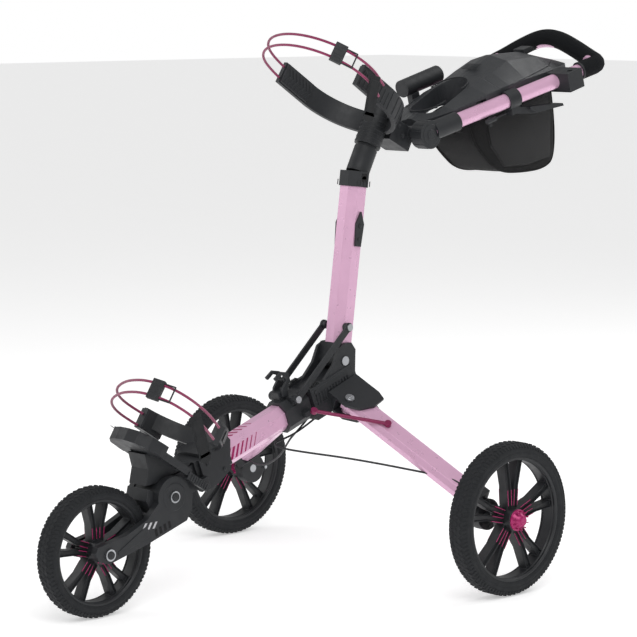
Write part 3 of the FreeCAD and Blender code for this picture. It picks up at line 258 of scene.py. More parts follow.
def braided(name, colour, length, pitch=0.0045):
    """A braided cord's crossing strands, which follow the cord's own surface."""
    g = Graph(name)
    parts = g.add("SeparateXYZ")
    g.link(g.surface, parts.inputs[0])
    turns = round(length / pitch)
    run = g.math("MULTIPLY", parts.outputs[0], turns * 2 * math.pi)
    ring = g.math("MULTIPLY", parts.outputs[1], 4 * 2 * math.pi)
    left = g.math("SINE", g.math("ADD", run, ring), 0)
    right = g.math("SINE", g.math("SUBTRACT", run, ring), 0)
    weave = g.between(g.math("MAXIMUM", left, right), 0, 1, -0.6, 1)
    shade = g.colours(weave, lighter(colour, 0.35), lighter(colour, 1.3))
    g.set(Base_Color=shade, Roughness=0.7, Sheen_Weight=0.3)
    g.bump(weave, 0.0005)
    return g.material


def rubber(name, colour):
    """Tyre rubber: dusty, dull, with fine moulding marks."""
    g = Graph(name)
    wear_and_highlight, normal = g.edge_wear_and_highlight(0.0008)
    dusty = g.colours(g.noise(22, 6), lighter(colour, 0.85), lighter(colour, 1.35))
    # Edges lightened: edge wear and a painted highlight.
    g.set(Base_Color=g.colours(wear_and_highlight, dusty, lighter(colour, 1.8)))
    g.set(Roughness=g.between(g.noise(90), 0.68, 0.84), Specular_IOR_Level=0.3)
    g.bump(g.noise(700, 3), 0.0002, normal)
    return g.material


def foamed(name, colour):
    """Closed foam with a pressed diamond weave."""
    g = Graph(name)
    first = g.bands(150, "DIAGONAL")
    second = g.bands(150, "DIAGONAL", g.scaled((-1, 1, 1)))
    weave = g.math("MULTIPLY", first, second)
    shade = g.colours(weave, lighter(colour, 0.7), lighter(colour, 1.5))
    g.set(Base_Color=shade, Roughness=0.85, Specular_IOR_Level=0.12)
    g.bump(g.math("ADD", weave, g.cells(1200)), 0.0005)
    return g.material


def brushed(name, colour):
    """Metal with drawn scratches."""
    g = Graph(name)
    lines = g.noise(60, 6, g.scaled((1, 40, 40)))
    g.set(Base_Color=g.colours(lines, lighter(colour, 0.8), lighter(colour, 1.2)))
    g.set(Metallic=1.0, Roughness=g.between(lines, 0.25, 0.42))
    g.bump(lines, 0.00003)
    return g.material


def ribbed(name, colour):
    """Console shell: moulded plastic with a fine crossed rib."""
    g = Graph(name)
    wear_and_highlight, normal = g.edge_wear_and_highlight(0.002)
    ribs = g.math("MULTIPLY", g.bands(170, "X"), g.bands(170, "Y"))
    shade = g.colours(ribs, lighter(colour, 0.86), lighter(colour, 1.15))
    # Edges lightened: edge wear and a painted highlight.
    g.set(Base_Color=g.colours(wear_and_highlight, shade, lighter(colour, 1.7)))
    g.set(Roughness=g.between(g.noise(40), 0.36, 0.5), Specular_IOR_Level=0.5)
    g.bump(ribs, 0.00018, normal)
    return g.material


def plain_ground(name, colour):
    """The floor under the cart."""
    g = Graph(name)
    g.set(Base_Color=g.colours(g.noise(3), colour, lighter(colour, 1.02)), Roughness=0.85)
    g.set(Emission_Color=(1.0, 1.0, 1.0), Emission_Strength=0.42)
    return g.material


def look(name):
    """A finished material by its slot's name."""
    return bpy.data.materials[name]


# ---- mesh helpers -----------------------------------------------------------

def box(bm, place, centre, size, turn=0.0, axis="X"):
    """A block turned about its own middle, in a frame."""
    own = Matrix.Translation(centre) @ Matrix.Rotation(math.radians(turn), 4, axis)
    made = bmesh.ops.create_cube(bm, size=1, matrix=place @ own @ Matrix.Diagonal((*size, 1)))
    return made["verts"]


def disc(bm, place, centre, radius, depth, tip=None, sides=32, axis=X_AXIS):
    """A round or many-sided stub, by default along X."""
    made = bmesh.ops.create_cone(
        bm, cap_ends=True, segments=sides, radius1=radius,
        radius2=radius if tip is None else tip, depth=depth,
        matrix=place @ Matrix.Translation(centre) @ axis,
    )
    return made["verts"]


def prism(bm, place, outline, start, depth):
    """A plate from an outline in a frame's YZ plane, from one X to another."""
    verts = [bm.verts.new(place @ Vector((start, y, z))) for y, z in outline]
    face = bm.faces.new(verts)
    grown = bmesh.ops.extrude_face_region(bm, geom=[face])["geom"]
    moved = [item for item in grown if isinstance(item, bmesh.types.BMVert)]
    way = place.to_3x3() @ Vector((depth, 0, 0))
    bmesh.ops.translate(bm, verts=moved, vec=way)
    return verts + moved


def lathe(bm, profile, steps=96):
    """A turned shape about X from a closed ring of (x, radius) corners."""
    verts = [bm.verts.new((x, radius, 0)) for x, radius in profile]
    edges = [bm.edges.new(pair) for pair in zip(verts, verts[1:] + verts[:1])]
    bmesh.ops.spin(
        bm, geom=verts + edges, cent=(0, 0, 0), axis=(1, 0, 0), dvec=(0, 0, 0),
        angle=2 * math.pi, steps=steps, use_merge=True,
    )


def around(bm, verts, count):
    """Copies of a piece round the X axis."""
    faces = {face for vert in verts for face in vert.link_faces}
    edges = {edge for vert in verts for edge in vert.link_edges}
    bmesh.ops.spin(
        bm, geom=list(verts) + list(edges) + list(faces), cent=(0, 0, 0), axis=(1, 0, 0),
        dvec=(0, 0, 0), angle=2 * math.pi * (count - 1) / count, steps=count - 1,
        use_duplicate=True,
    )


def keep(bm, name, slot, body, round_off=0.0005, sharp=32.0, material=None, place=None):
    """Turns a bmesh into a piece that rides on a body, with softened edges."""
    if place is not None:
        bmesh.ops.transform(bm, matrix=place, verts=bm.verts)
    bmesh.ops.remove_doubles(bm, verts=bm.verts, dist=1e-6)
    bmesh.ops.recalc_face_normals(bm, faces=bm.faces)
    for face in bm.faces:
        face.smooth = True
    for edge in bm.edges:
        edge.smooth = edge.is_manifold and edge.calc_face_angle(0) < math.radians(sharp)
    mesh = bpy.data.meshes.new(name)
    bm.to_mesh(mesh)
    bm.free()
    mesh.materials.append(material or look(slot))
    piece = bpy.data.objects.new(name, mesh)
    bpy.context.scene.collection.objects.link(piece)
    if round_off:
        soft = piece.modifiers.new("Edges", "BEVEL")
        soft.width, soft.segments, soft.limit_method = round_off, 2, "ANGLE"
        soft.angle_limit = math.radians(sharp)
    if body:
        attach(piece, body)
    return piece


def line(name, points, diameter, slot, body, material=None, place=Matrix()):
    """A cord as one smooth curve through a frame's points."""
    data = bpy.data.curves.new(name, "CURVE")
    data.dimensions = "3D"
    data.bevel_depth = diameter / 2
    data.bevel_resolution = 5
    data.resolution_u = 10
    data.use_fill_caps = True
    spline = data.splines.new("NURBS")
    spline.points.add(len(points) - 1)
    for point, spot in zip(spline.points, points):
        point.co = (*(place @ Vector(spot)), 1)
    spline.order_u = 3
    spline.use_endpoint_u = True
    data.materials.append(material or look(slot))
    piece = bpy.data.objects.new(name, data)
    bpy.context.scene.collection.objects.link(piece)
    if body:
        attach(piece, body)
    return piece


# ---- what a user may change -------------------------------------------------

def colour_property(name, description, default):
    """A colour in the panel."""
    return bpy.props.FloatVectorProperty(
        name=name, description=description, subtype="COLOR", size=3, min=0, max=1,
        default=default,
    )


class CartLooks(bpy.types.PropertyGroup):
    """Colours and sizes of the cart's looks."""

    frame_paint: colour_property("Frame paint", "Paint of the tubes", (0.72, 0.43, 0.60))
    accent: colour_property("Accent", "Hub caps, cords and graphics", (0.26, 0.012, 0.085))
    moulding: colour_property("Moulding", "Moulded plastic parts", (0.017, 0.0185, 0.021))
    rubber: colour_property("Rubber", "Tyres", (0.014, 0.0152, 0.017))
    cloth: colour_property("Cloth", "Accessory pouch", (0.006, 0.006, 0.0065))
    ground: colour_property("Ground", "Floor under the cart", (0.88, 0.88, 0.88))
    tread_pitch: bpy.props.FloatProperty(
        name="Tread pitch", description="Distance between tread blocks", default=0.0125,
        unit="LENGTH", subtype="DISTANCE",
    )
    cord_diameter: bpy.props.FloatProperty(
        name="Bungee", description="Diameter of the bungee cord", default=0.005,
        unit="LENGTH", subtype="DISTANCE",
    )
    cable_diameter: bpy.props.FloatProperty(
        name="Brake cable", description="Diameter of the brake cable", default=0.004,
        unit="LENGTH", subtype="DISTANCE",
    )


NODE_SLOTS = {
    "pink_paint": "keel_tube upright_tube right_leg left_leg handle_tube",
    "tyre_rubber": "front_tyre right_rear_tyre left_rear_tyre",
    "rim_plastic": "front_rim right_rear_rim left_rear_rim",
    "magenta_cap": "right_rear_hub_cap left_rear_hub_cap",
    "plum_paint": "right_tie_rod left_tie_rod",
    "steel": "front_axle right_axle left_axle hinge_pins link_screws right_brake_pin "
             "left_brake_pin",
    "foam": "foam_grip",
    "console_shell": "console_tray console_lid",
    "fabric_black": "accessory_bag",
}


class PUSHCART_OT_finishes(bpy.types.Operator):
    """Make the materials and give each fixed part its own"""

    bl_idname = "pushcart.finishes"
    bl_label = "Finishes"

    def execute(self, context):
        looks = context.scene.push_cart
        dark, accent = tuple(looks.moulding), tuple(looks.accent)
        painted("pink_paint", tuple(looks.frame_paint))
        painted("plum_paint", lighter(accent, 0.8), 0.35, 0.2)
        rubber("tyre_rubber", tuple(looks.rubber))
        moulded("rim_plastic", lighter(dark, 0.95), 0.45)
        moulded("magenta_cap", lighter(accent, 1.4), 0.28, 500, 0.00005, 1.6, 0.25)
        moulded("charcoal_plastic", dark, 0.5)
        moulded("webbing", lighter(dark, 0.5), 0.7)
        brushed("steel", (0.42, 0.43, 0.45))
        foamed("foam", lighter(dark, 0.6))
        ribbed("console_shell", lighter(dark, 1.5))
        woven("fabric_black", tuple(looks.cloth))
        woven("velour", lighter(tuple(looks.cloth), 1.5), 700, 0.0004, 0.6)
        # Near-black for flat patches of painted shade that stand for slots and holes.
        moulded("hole_shade", (0.006, 0.006, 0.007), 0.8)
        moulded("pale_mark", (0.5, 0.5, 0.52), 0.5, edge=1.1)
        by_node = {
            node: slot for slot, nodes in NODE_SLOTS.items() for node in nodes.split()
        }
        for name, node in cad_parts.items():
            node.data.materials.clear()
            node.data.materials.append(look(by_node.get(name, "charcoal_plastic")))
        return {"FINISHED"}


class PUSHCART_OT_tyres(bpy.types.Operator):
    """Make the three tyres with their crossed tread"""

    bl_idname = "pushcart.tyres"
    bl_label = "Tyres"

    def execute(self, context):
        pitch = context.scene.push_cart.tread_pitch
        for prefix, body, x, y, radius, opening in WHEELS:
            bm = bmesh.new()
            seat = opening + RIM_RING
            side = [
                (0.0075, radius - 0.0016), (0.0145, radius - 0.0028), (0.019, radius - 0.0065),
                (0.0215, radius - 0.0115), (0.0225, radius - 0.016), (0.0218, seat + 0.0095),
                (0.0229, seat + 0.0080), (0.0229, seat + 0.0045), (0.0200, seat),
            ]
            profile = side + [(-across, high) for across, high in reversed(side)]
            lathe(bm, profile, 120)
            count = round(2 * math.pi * radius / pitch)
            half_step = Matrix.Rotation(math.pi / count, 4, "X")
            for across, step in ((-0.0098, Matrix()), (0, half_step), (0.0098, Matrix())):
                block = box(
                    bm, step, (across, 0, radius - 0.0024), (0.0068, 0.0068, 0.0034), 45, "Z"
                )
                around(bm, block, count)
            ribs = round(count * 1.5)
            for way in (1, -1):
                place = Matrix.Translation((way * 0.0188, 0, radius - 0.0068))
                tilt = Matrix.Rotation(math.radians(way * 48), 4, "Y")
                rib = box(bm, place @ tilt, (0, 0, 0), (0.0085, 0.0038, 0.0026), way * 18, "Z")
                around(bm, rib, ribs)
            tyre = keep(
                bm, f"{prefix}tyre_tread", "tyre_rubber", body, 0.0,
                place=Matrix.Translation((x, y, radius)),
            )
            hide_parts(f"{prefix}tyre")
        return {"FINISHED"}


class PUSHCART_OT_rims(bpy.types.Operator):
    """Make the rims with channelled twin spokes, their accent lines and the hub caps"""

    bl_idname = "pushcart.rims"
    bl_label = "Rims"

    def execute(self, context):
        for prefix, body, x, y, radius, opening in WHEELS:
            place = Matrix.Translation((x, y, radius))
            rim = keep(self.rim(opening), f"{prefix}rim_spokes", "rim_plastic", body, 0.0005,
                       place=place)
            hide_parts(f"{prefix}rim")
            keep(self.accents(opening), f"{prefix}accents", "magenta_cap", body, 0,
                 place=place)
            bm = bmesh.new()
            for face in (0.0243, -0.0243):
                disc(bm, Matrix(), (face, 0, 0), 0.0178, 0.0006, sides=10)
                around(bm, box(bm, Matrix(), (face, 0, 0.0155), (0.0008, 0.003, 0.008)), 10)
            keep(bm, f"{prefix}hub_face", "magenta_cap", body, 0, place=place)
        for name, side in SIDES:
            bm = bmesh.new()
            disc(bm, Matrix(), (0.0245, 0, 0), 0.0205, 0.003)
            disc(bm, Matrix(), (0.0315, 0, 0), 0.0195, 0.012, 0.0105, 10)
            disc(bm, Matrix(), (0.0380, 0, 0), 0.0085, 0.003, 0.0075, 24)
            flutes = box(bm, Matrix(), (0.0315, 0, 0.0172), (0.009, 0.0016, 0.0026), 0)
            around(bm, flutes, 10)
            place = Matrix.Translation((TRACK_HALF, REAR_AXLE_Y, REAR_RADIUS))
            cap = keep(bm, f"{name}_hub_cap_facets", "magenta_cap", f"{name}_wheel", 0.0004,
                       place=place if side > 0 else MIRROR @ place)
            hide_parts(f"{name}_rear_hub_cap")
        return {"FINISHED"}

    def spoke(self, bm, opening, side):
        """One kinked spoke with a channel sunk in both faces."""
        knee = 0.56 * opening
        outline = [
            (0.0010, 0.0190), (0.0125, 0.0190), (0.0150, knee), (0.0265, opening + 0.001),
            (0.0135, opening + 0.001), (0.0045, knee),
        ]
        verts = prism(bm, Matrix(), [(side * y, z) for y, z in outline], -0.011, 0.022)
        bm.normal_update()
        ends = {f for v in verts for f in v.link_faces if abs(f.normal.x) > 0.9}
        made = list(verts)
        for face in sorted(ends, key=lambda item: item.calc_center_median().x):
            way = 1 if face.calc_center_median().x > 0 else -1
            ring = bmesh.ops.inset_region(bm, faces=[face], thickness=0.0022)
            bmesh.ops.translate(bm, verts=face.verts, vec=(-way * 0.006, 0, 0))
            made += list(face.verts) + [v for f in ring["faces"] for v in f.verts]
        return list(dict.fromkeys(made))

    def rim(self, opening):
        """The outer ring, the hub and five pairs of spokes."""
        bm = bmesh.new()
        seat = opening + RIM_RING
        lathe(bm, [
            (-0.0195, opening + 0.002), (-0.0195, seat), (0.0195, seat), (0.0195, opening + 0.002),
            (0.0165, opening - 0.0005), (0.0125, opening + 0.001), (0.0100, opening - 0.001),
            (-0.0100, opening - 0.001), (-0.0125, opening + 0.001), (-0.0165, opening - 0.0005),
        ])
        lathe(bm, [
            (-0.0240, 0.0082), (-0.0240, 0.0180), (-0.0215, 0.0215), (-0.0120, 0.0225),
            (0.0120, 0.0225), (0.0215, 0.0215), (0.0240, 0.0180), (0.0240, 0.0082),
        ], 48)
        for side in (1, -1):
            around(bm, self.spoke(bm, opening, side), 5)
        rib = box(bm, Matrix(), (0, 0, 0.030), (0.016, 0.003, 0.020))
        around(bm, rib, 5)
        return bm

    def accents(self, opening):
        """Thin lines along the inner part of the spokes' edges."""
        bm = bmesh.new()
        start, stop = 0.0260, 0.50 * opening
        middle, length = (start + stop) / 2, stop - start
        for face in (0.0112, -0.0112):
            for side in (1, -1):
                for across, slant in ((0.0038, 2.5), (0.0131, 4.0)):
                    bar = box(bm, Matrix(), (face, side * across, middle),
                              (0.0005, 0.0011, length), -side * slant)
                    around(bm, bar, 5)
        return bm


class PUSHCART_OT_grip(bpy.types.Operator):
    """Make the foam grip with its end rings"""

    bl_idname = "pushcart.grip"
    bl_label = "Foam grip"

    def execute(self, context):
        spread, climb = math.tan(math.radians(9.54)), math.tan(math.radians(1.6))

        def along(distance, side=1):
            return (side * (0.0605 + spread * distance), distance, -0.005 + climb * distance)

        crown = 0.480 * climb - 0.005 + 0.053
        near = [along(0.431), along(0.452), along(0.480)]
        turn = [(0.118, 0.4845, near[-1][2] + 0.0085), (0.070, 0.4925, crown - 0.0235)]
        top = [(0.030, 0.4985, crown - 0.0095), (0, 0.5005, crown - 0.006)]
        right = near + turn + top
        left = [(-x, y, z) for x, y, z in reversed(right[:-1])]
        grip = line("foam_grip_sleeve", right + left, 0.037, "foam", "handle", place=HANDLE)
        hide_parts("foam_grip")
        bm = bmesh.new()
        for side in (1, -1):
            spot, ahead = Vector(along(0.4295, side)), Vector(along(0.4395, side))
            way = (ahead - spot).to_track_quat("Z", "Y").to_matrix().to_4x4()
            disc(bm, HANDLE, spot, 0.0188, 0.004, axis=way)
        keep(bm, "grip_end_rings", "charcoal_plastic", "handle")
        return {"FINISHED"}


LOWER_CORD = (
    (-103, -3), (-109, -33), (-99, -74), (-66, -114), (-18, -148), (40, -178),
    (106, -193), (152, -172), (162, -132), (155, -88), (138, -44), (115, -4),
)
UPPER_CORD = (
    (-108, -197), (-104, -230), (-86, -272), (-48, -304), (4, -320), (58, -316),
    (106, -290), (134, -250), (141, -206), (131, -166), (118, -138),
)
BUNGEES = (
    # name, body, frame, plan in mm, real length, tab's x, tab's upper and lower end
    ("lower_bungee", "keel", LOWER, LOWER_CORD, 0.539, 160, (-106, -8), (-34, -69)),
    ("upper_bungee", "upright", CRADLE, UPPER_CORD, 0.452, 145, (-190, 2), (-160, -82)),
)


class PUSHCART_OT_bungees(bpy.types.Operator):
    """Make the bungee cords with their clips and pull tabs"""

    bl_idname = "pushcart.bungees"
    bl_label = "Bungees"

    def execute(self, context):
        looks = context.scene.push_cart
        for name, body, place, plan, length, x, upper, lower in BUNGEES:
            cloth = braided(f"{name}_braid", tuple(looks.accent), length)
            clip = self.clip(name, body, place, plan)
            tab = self.tab(name, body, place, x, upper, lower)
            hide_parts(f"{name}_clip_and_tab")
            for strand, high in (("upper", 0.012), ("lower", -0.012)):
                points = [(a / 1000, b / 1000, high) for a, b in plan]
                cord = line(f"{name}_{strand}_cord", points, looks.cord_diameter,
                            "bungee_cord", body, cloth, place)
                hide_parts(f"{name}_{strand}_strand")
        return {"FINISHED"}

    def clip(self, name, body, place, plan):
        """The block that joins the strands, with its wire loop."""
        before, after = Vector((*plan[6], 0)) / 1000, Vector((*plan[7], 0)) / 1000
        way = after - before
        turn = Matrix.Rotation(math.atan2(way.y, way.x), 4, "Z")
        seat = place @ Matrix.Translation((before + after) / 2) @ turn
        bm = bmesh.new()
        box(bm, seat, (-0.002, 0, 0), (0.024, 0.010, 0.038))
        box(bm, seat, (-0.002, 0, 0), (0.018, 0.0125, 0.010))
        for high in (0.0135, -0.0135):
            box(bm, seat, (-0.002, 0, high), (0.014, 0.0118, 0.007))
        for high in (0.015, -0.015):
            disc(bm, seat, (0.021, 0, high), 0.0015, 0.022, sides=12)
        disc(bm, seat, (0.0315, 0, 0), 0.0015, 0.032, sides=12, axis=Matrix())
        return keep(bm, f"{name}_clip", "charcoal_plastic", body, 0.0008)

    def tab(self, name, body, place, x, upper, lower):
        """A pull tab of doubled webbing, stitched round its edge."""
        (y, z), (low_y, low_z) = upper, lower
        run = math.hypot(low_y - y, low_z - z) / 1000
        turn = Matrix.Rotation(math.atan2(low_z - z, low_y - y), 4, "X")
        seat = place @ Matrix.Translation((x / 1000, y / 1000, z / 1000)) @ turn
        bm = bmesh.new()
        straight = run - 0.013
        box(bm, seat, (0.0012, straight * 0.5, 0), (0.0022, straight, 0.026))
        box(bm, seat, (0.0025, straight * 0.52, 0), (0.0012, straight * 0.80, 0.019))
        disc(bm, seat, (0.0012, straight, 0), 0.013, 0.0022, sides=24)
        for high in (0.0112, -0.0112):
            for step in range(int(straight / 0.0045)):
                box(bm, seat, (0.0025, 0.003 + step * 0.0045, high), (0.0006, 0.0028, 0.0008))
        return keep(bm, f"{name}_tab", "webbing", body, 0.0006)


BAG_SIDE = (
    (0.162, -0.004), (0.166, -0.060), (0.183, -0.094), (0.222, -0.146), (0.300, -0.170),
    (0.359, -0.180), (0.392, -0.168), (0.415, -0.075), (0.417, -0.004),
)


class PUSHCART_OT_pouch(bpy.types.Operator):
    """Make the accessory pouch with its pocket panel, piping, zip and loops"""

    bl_idname = "pushcart.pouch"
    bl_label = "Accessory pouch"

    def execute(self, context):
        bag = self.body()
        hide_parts("accessory_bag")
        for side in (1, -1):
            edge = [(side * 0.0575, y, z) for y, z in BAG_SIDE]
            line(f"pouch_piping_{'right' if side > 0 else 'left'}", edge, 0.0042,
                 "fabric_black", "handle", place=HANDLE)
        self.panel()
        self.trim()
        return {"FINISHED"}

    def body(self):
        """A sewn bag whose side panels stand proud."""
        bm = bmesh.new()
        verts = prism(bm, HANDLE, BAG_SIDE, -0.058, 0.116)
        bm.normal_update()
        ends = {f for v in verts for f in v.link_faces if abs(f.normal.x) > 0.9}
        for face in sorted(ends, key=lambda item: item.calc_center_median().x):
            way = 1 if face.calc_center_median().x > 0 else -1
            bmesh.ops.inset_region(bm, faces=[face], thickness=0.008)
            bmesh.ops.translate(bm, verts=face.verts, vec=(way * 0.003, 0, 0))
            bmesh.ops.inset_region(bm, faces=[face], thickness=0.022)
            bmesh.ops.translate(bm, verts=face.verts, vec=(way * 0.0035, 0, 0))
        bmesh.ops.subdivide_edges(bm, edges=bm.edges, cuts=1, use_grid_fill=True)
        bag = keep(bm, "pouch_body", "fabric_black", "handle", 0.0)
        soft = bag.modifiers.new("Sewn", "SUBSURF")
        soft.levels = soft.render_levels = 2
        return bag

    def panel(self):
        """The napped pocket panels on both sides."""
        bm = bmesh.new()
        outline = [
            (0.205, -0.030), (0.207, -0.085), (0.236, -0.138), (0.300, -0.155), (0.372, -0.160),
            (0.394, -0.080), (0.396, -0.028),
        ]
        for start in (0.0605, -0.0675):
            verts = prism(bm, HANDLE, outline, start, 0.007)
            edges = list({e for v in verts for e in v.link_edges})
            bmesh.ops.bevel(bm, geom=edges, offset=0.003, affect="EDGES", segments=3,
                            profile=0.5, material=-1)
        keep(bm, "pouch_panels", "fabric_black", "handle", 0.0, 50.0, look("velour"))

    def trim(self):
        """Zip and hanging loops."""
        bm = bmesh.new()
        for step in range(46):
            for side in (1, -1):
                box(bm, HANDLE, (side * 0.0672, 0.212 + step * 0.0039, -0.0255),
                    (0.0022, 0.0024, 0.004))
        for side in (1, -1):
            box(bm, HANDLE, (side * 0.0690, 0.214, -0.036), (0.0018, 0.009, 0.020))
        keep(bm, "pouch_zip", "charcoal_plastic", "handle", 0.0003)
        bm = bmesh.new()
        for x in (0.036, -0.004):
            for y, z, turn, length in (
                (0.157, -0.018, 8, 0.034), (0.149, -0.036, 60, 0.014), (0.140, -0.022, -14, 0.034),
            ):
                box(bm, HANDLE, (x, y, z), (0.020, 0.0022, length), turn)
        keep(bm, "pouch_loops", "fabric_black", "handle", 0.0008)


class PUSHCART_OT_graphics(bpy.types.Operator):
    """Make the slanting bars on the keel and the marks on the fork"""

    bl_idname = "pushcart.graphics"
    bl_label = "Graphics"

    def execute(self, context):
        bm = bmesh.new()
        for step in range(7):
            wide, start = 0.0075 - step * 0.0009, 0.150 + step * 0.0125
            for side in (1, -1):
                prism(bm, KEEL, [
                    (start, -0.011), (start + wide, -0.011), (start + wide + 0.014, 0.011),
                    (start + 0.014, 0.011),
                ], side * 0.0230, side * 0.00015)
            box(bm, KEEL, (0, start + 0.016, 0.02505), (0.019, wide, 0.0002), 24, "Z")
        keep(bm, "keel_bars", "magenta_cap", "keel", 0.0)
        bm = bmesh.new()
        for side in (1, -1):
            outer = side * 0.0440
            for step in range(3):
                start = -0.048 - step * 0.012
                prism(bm, FORK, [
                    (start, -0.052), (start - 0.005, -0.052), (start + 0.002, -0.040),
                    (start + 0.007, -0.040),
                ], outer, side * 0.0002)
        keep(bm, "fork_marks", "charcoal_plastic", "fork", 0.0, material=look("pale_mark"))
        return {"FINISHED"}


class PUSHCART_OT_trim(bpy.types.Operator):
    """Make bolts and ribs on the moulded parts, and flat near-black patches of painted shade for
    their slots and vents
    """

    bl_idname = "pushcart.trim"
    bl_label = "Bolts and ribs"

    def execute(self, context):
        self.fork()
        self.keel()
        self.upright()
        self.cradle()
        self.handle()
        self.legs()
        return {"FINISHED"}

    def bolt(self, bm, place, centre, radius=0.006, side=1, axis=X_AXIS):
        """A round head with a six-sided boss."""
        disc(bm, place, centre, radius, 0.0024, radius * 0.9, 24, axis)
        lift = Vector((side * 0.0016, 0, 0)) if axis is X_AXIS else Vector((0, 0, 0.0016))
        disc(bm, place, Vector(centre) + lift, radius * 0.5, 0.0012, radius * 0.45, 6, axis)

    def fork(self):
        bm, dark = bmesh.new(), bmesh.new()
        for side in (1, -1):
            face = side * 0.0442
            # Flat near-black patches: painted shade standing for the vent slots.
            for step in range(4):
                spot = (face, -0.012 - step * 0.0105, -0.050 - step * 0.0035)
                box(dark, FORK, spot, (0.0006, 0.0058, 0.0135), 14)
            for step in range(9):
                box(bm, FORK, (side * 0.037, 0.042 - step * 0.0012, -0.004 - step * 0.0048),
                    (0.0135, 0.0026, 0.0018), 4)
            disc(bm, FORK, (face, 0, 0), 0.027, 0.0016, 0.0255)
            self.bolt(bm, FORK, (side * 0.0485, 0, 0), 0.0085, side)
            self.bolt(bm, FORK, (side * 0.0490, -0.1529, -0.0863), 0.0080, side)
            prism(bm, FORK, [
                (-0.060, -0.066), (-0.132, -0.090), (-0.134, -0.084), (-0.066, -0.044),
            ], face, side * 0.0010)
        keep(bm, "fork_trim", "charcoal_plastic", "fork")
        keep(dark, "fork_slot_shade", "charcoal_plastic", "fork", 0, material=look("hole_shade"))

    def keel(self):
        bm = bmesh.new()
        for side in (1, -1):
            for s, n in ((0.086, 0.018), (0.106, -0.016)):
                self.bolt(bm, KEEL, (side * 0.0303, s, n), 0.0050, side)
            for s, n in ((0.100, 0.016), (0.140, 0.045), (0.134, -0.012)):
                self.bolt(bm, KEEL, (side * 0.0368, s, n), 0.0045, side)
            for step in range(5):
                box(bm, KEEL, (side * 0.0300, 0.394 + step * 0.004, 0.0350),
                    (0.010, 0.0016, 0.004))
            for s, n in ((0.396, -0.022), (0.478, -0.022), (0.396, 0.020)):
                self.bolt(bm, KEEL, (side * 0.0356, s, n), 0.0045, side)
        for step in range(9):
            angle = math.radians(-70 + step * 17.5)
            spot = (0.1125 * math.sin(angle), -0.026 + 0.1125 * math.cos(angle), 0.010)
            turn = Matrix.Rotation(-angle, 4, "Z")
            box(bm, LOWER @ Matrix.Translation(spot) @ turn, (0, 0, 0), (0.022, 0.0016, 0.020))
        for step in range(9):
            box(bm, LOWER, (-0.048 + step * 0.012, -0.078, -0.0556), (0.0022, 0.052, 0.0012))
        disc(bm, LOWER, (-0.103, 0.025, 0.0245), 0.007, 0.0014, axis=Matrix())
        keep(bm, "keel_trim", "charcoal_plastic", "keel")

    def upright(self):
        bm, dark = bmesh.new(), bmesh.new()
        for side in (1, -1):
            face = side * 0.0282
            # Flat near-black disc and bar: painted shade standing for a hole and its slot.
            disc(dark, UPRIGHT, (face, 0, 0.353), 0.0062, 0.0006)
            box(dark, UPRIGHT, (face, 0, 0.3585), (0.0006, 0.0124, 0.011))
            for step in range(5):
                box(bm, UPRIGHT, (face, -0.016 + step * 0.008, 0.345), (0.0016, 0.0016, 0.011))
            self.bolt(bm, UPRIGHT, (side * 0.0303, 0, 0.262), 0.0050, side)
            self.bolt(bm, UPRIGHT, (side * 0.0303, 0, 0.236), 0.0040, side)
            self.bolt(bm, HEAD, (side * 0.0322, 0.052, 0.106), 0.0055, side)
            self.bolt(bm, HEAD, (side * 0.0322, 0.034, 0.118), 0.0045, side)
        for step in range(6):
            disc(bm, HEAD, (0, 0, 0.062 + step * 0.009), 0.0268, 0.0022, axis=Matrix())
        keep(bm, "upright_trim", "charcoal_plastic", "upright")
        keep(dark, "elbow_hole_shade", "charcoal_plastic", "upright", 0, material=look("hole_shade"))

    def cradle(self):
        bm, pads = bmesh.new(), bmesh.new()
        for side in (1, -1):
            for step in range(7):
                y = -0.182 + step * 0.0105
                for high, turn in ((0.008, 35), (-0.008, -35)):
                    box(pads, CRADLE, (side * 0.0986, y, high), (0.0016, 0.0030, 0.018), turn)
            for step in range(8):
                y = -0.112 - step * 0.011
                box(bm, CRADLE, (side * 0.1133, y, -0.004), (0.0014, 0.0018, 0.030))
            for high in (0.0200, -0.0200):
                box(bm, CRADLE, (side * 0.1134, -0.154, high), (0.0018, 0.082, 0.0022))
            self.bolt(bm, CRADLE, (side * 0.1142, -0.186, 0.010), 0.0045, side)
        for step in range(17):
            angle = math.radians(-84 + step * 10.5)
            if abs(step - 8) < 3:
                continue
            spot = (0.1134 * math.sin(angle), -0.113 + 0.1134 * math.cos(angle), 0)
            turn = Matrix.Rotation(-angle, 4, "Z")
            box(bm, CRADLE @ Matrix.Translation(spot) @ turn, (0, 0, 0), (0.0018, 0.0016, 0.038))
        keep(bm, "cradle_ribs", "charcoal_plastic", "upright")
        keep(pads, "pad_chevrons", "charcoal_plastic", "upright")

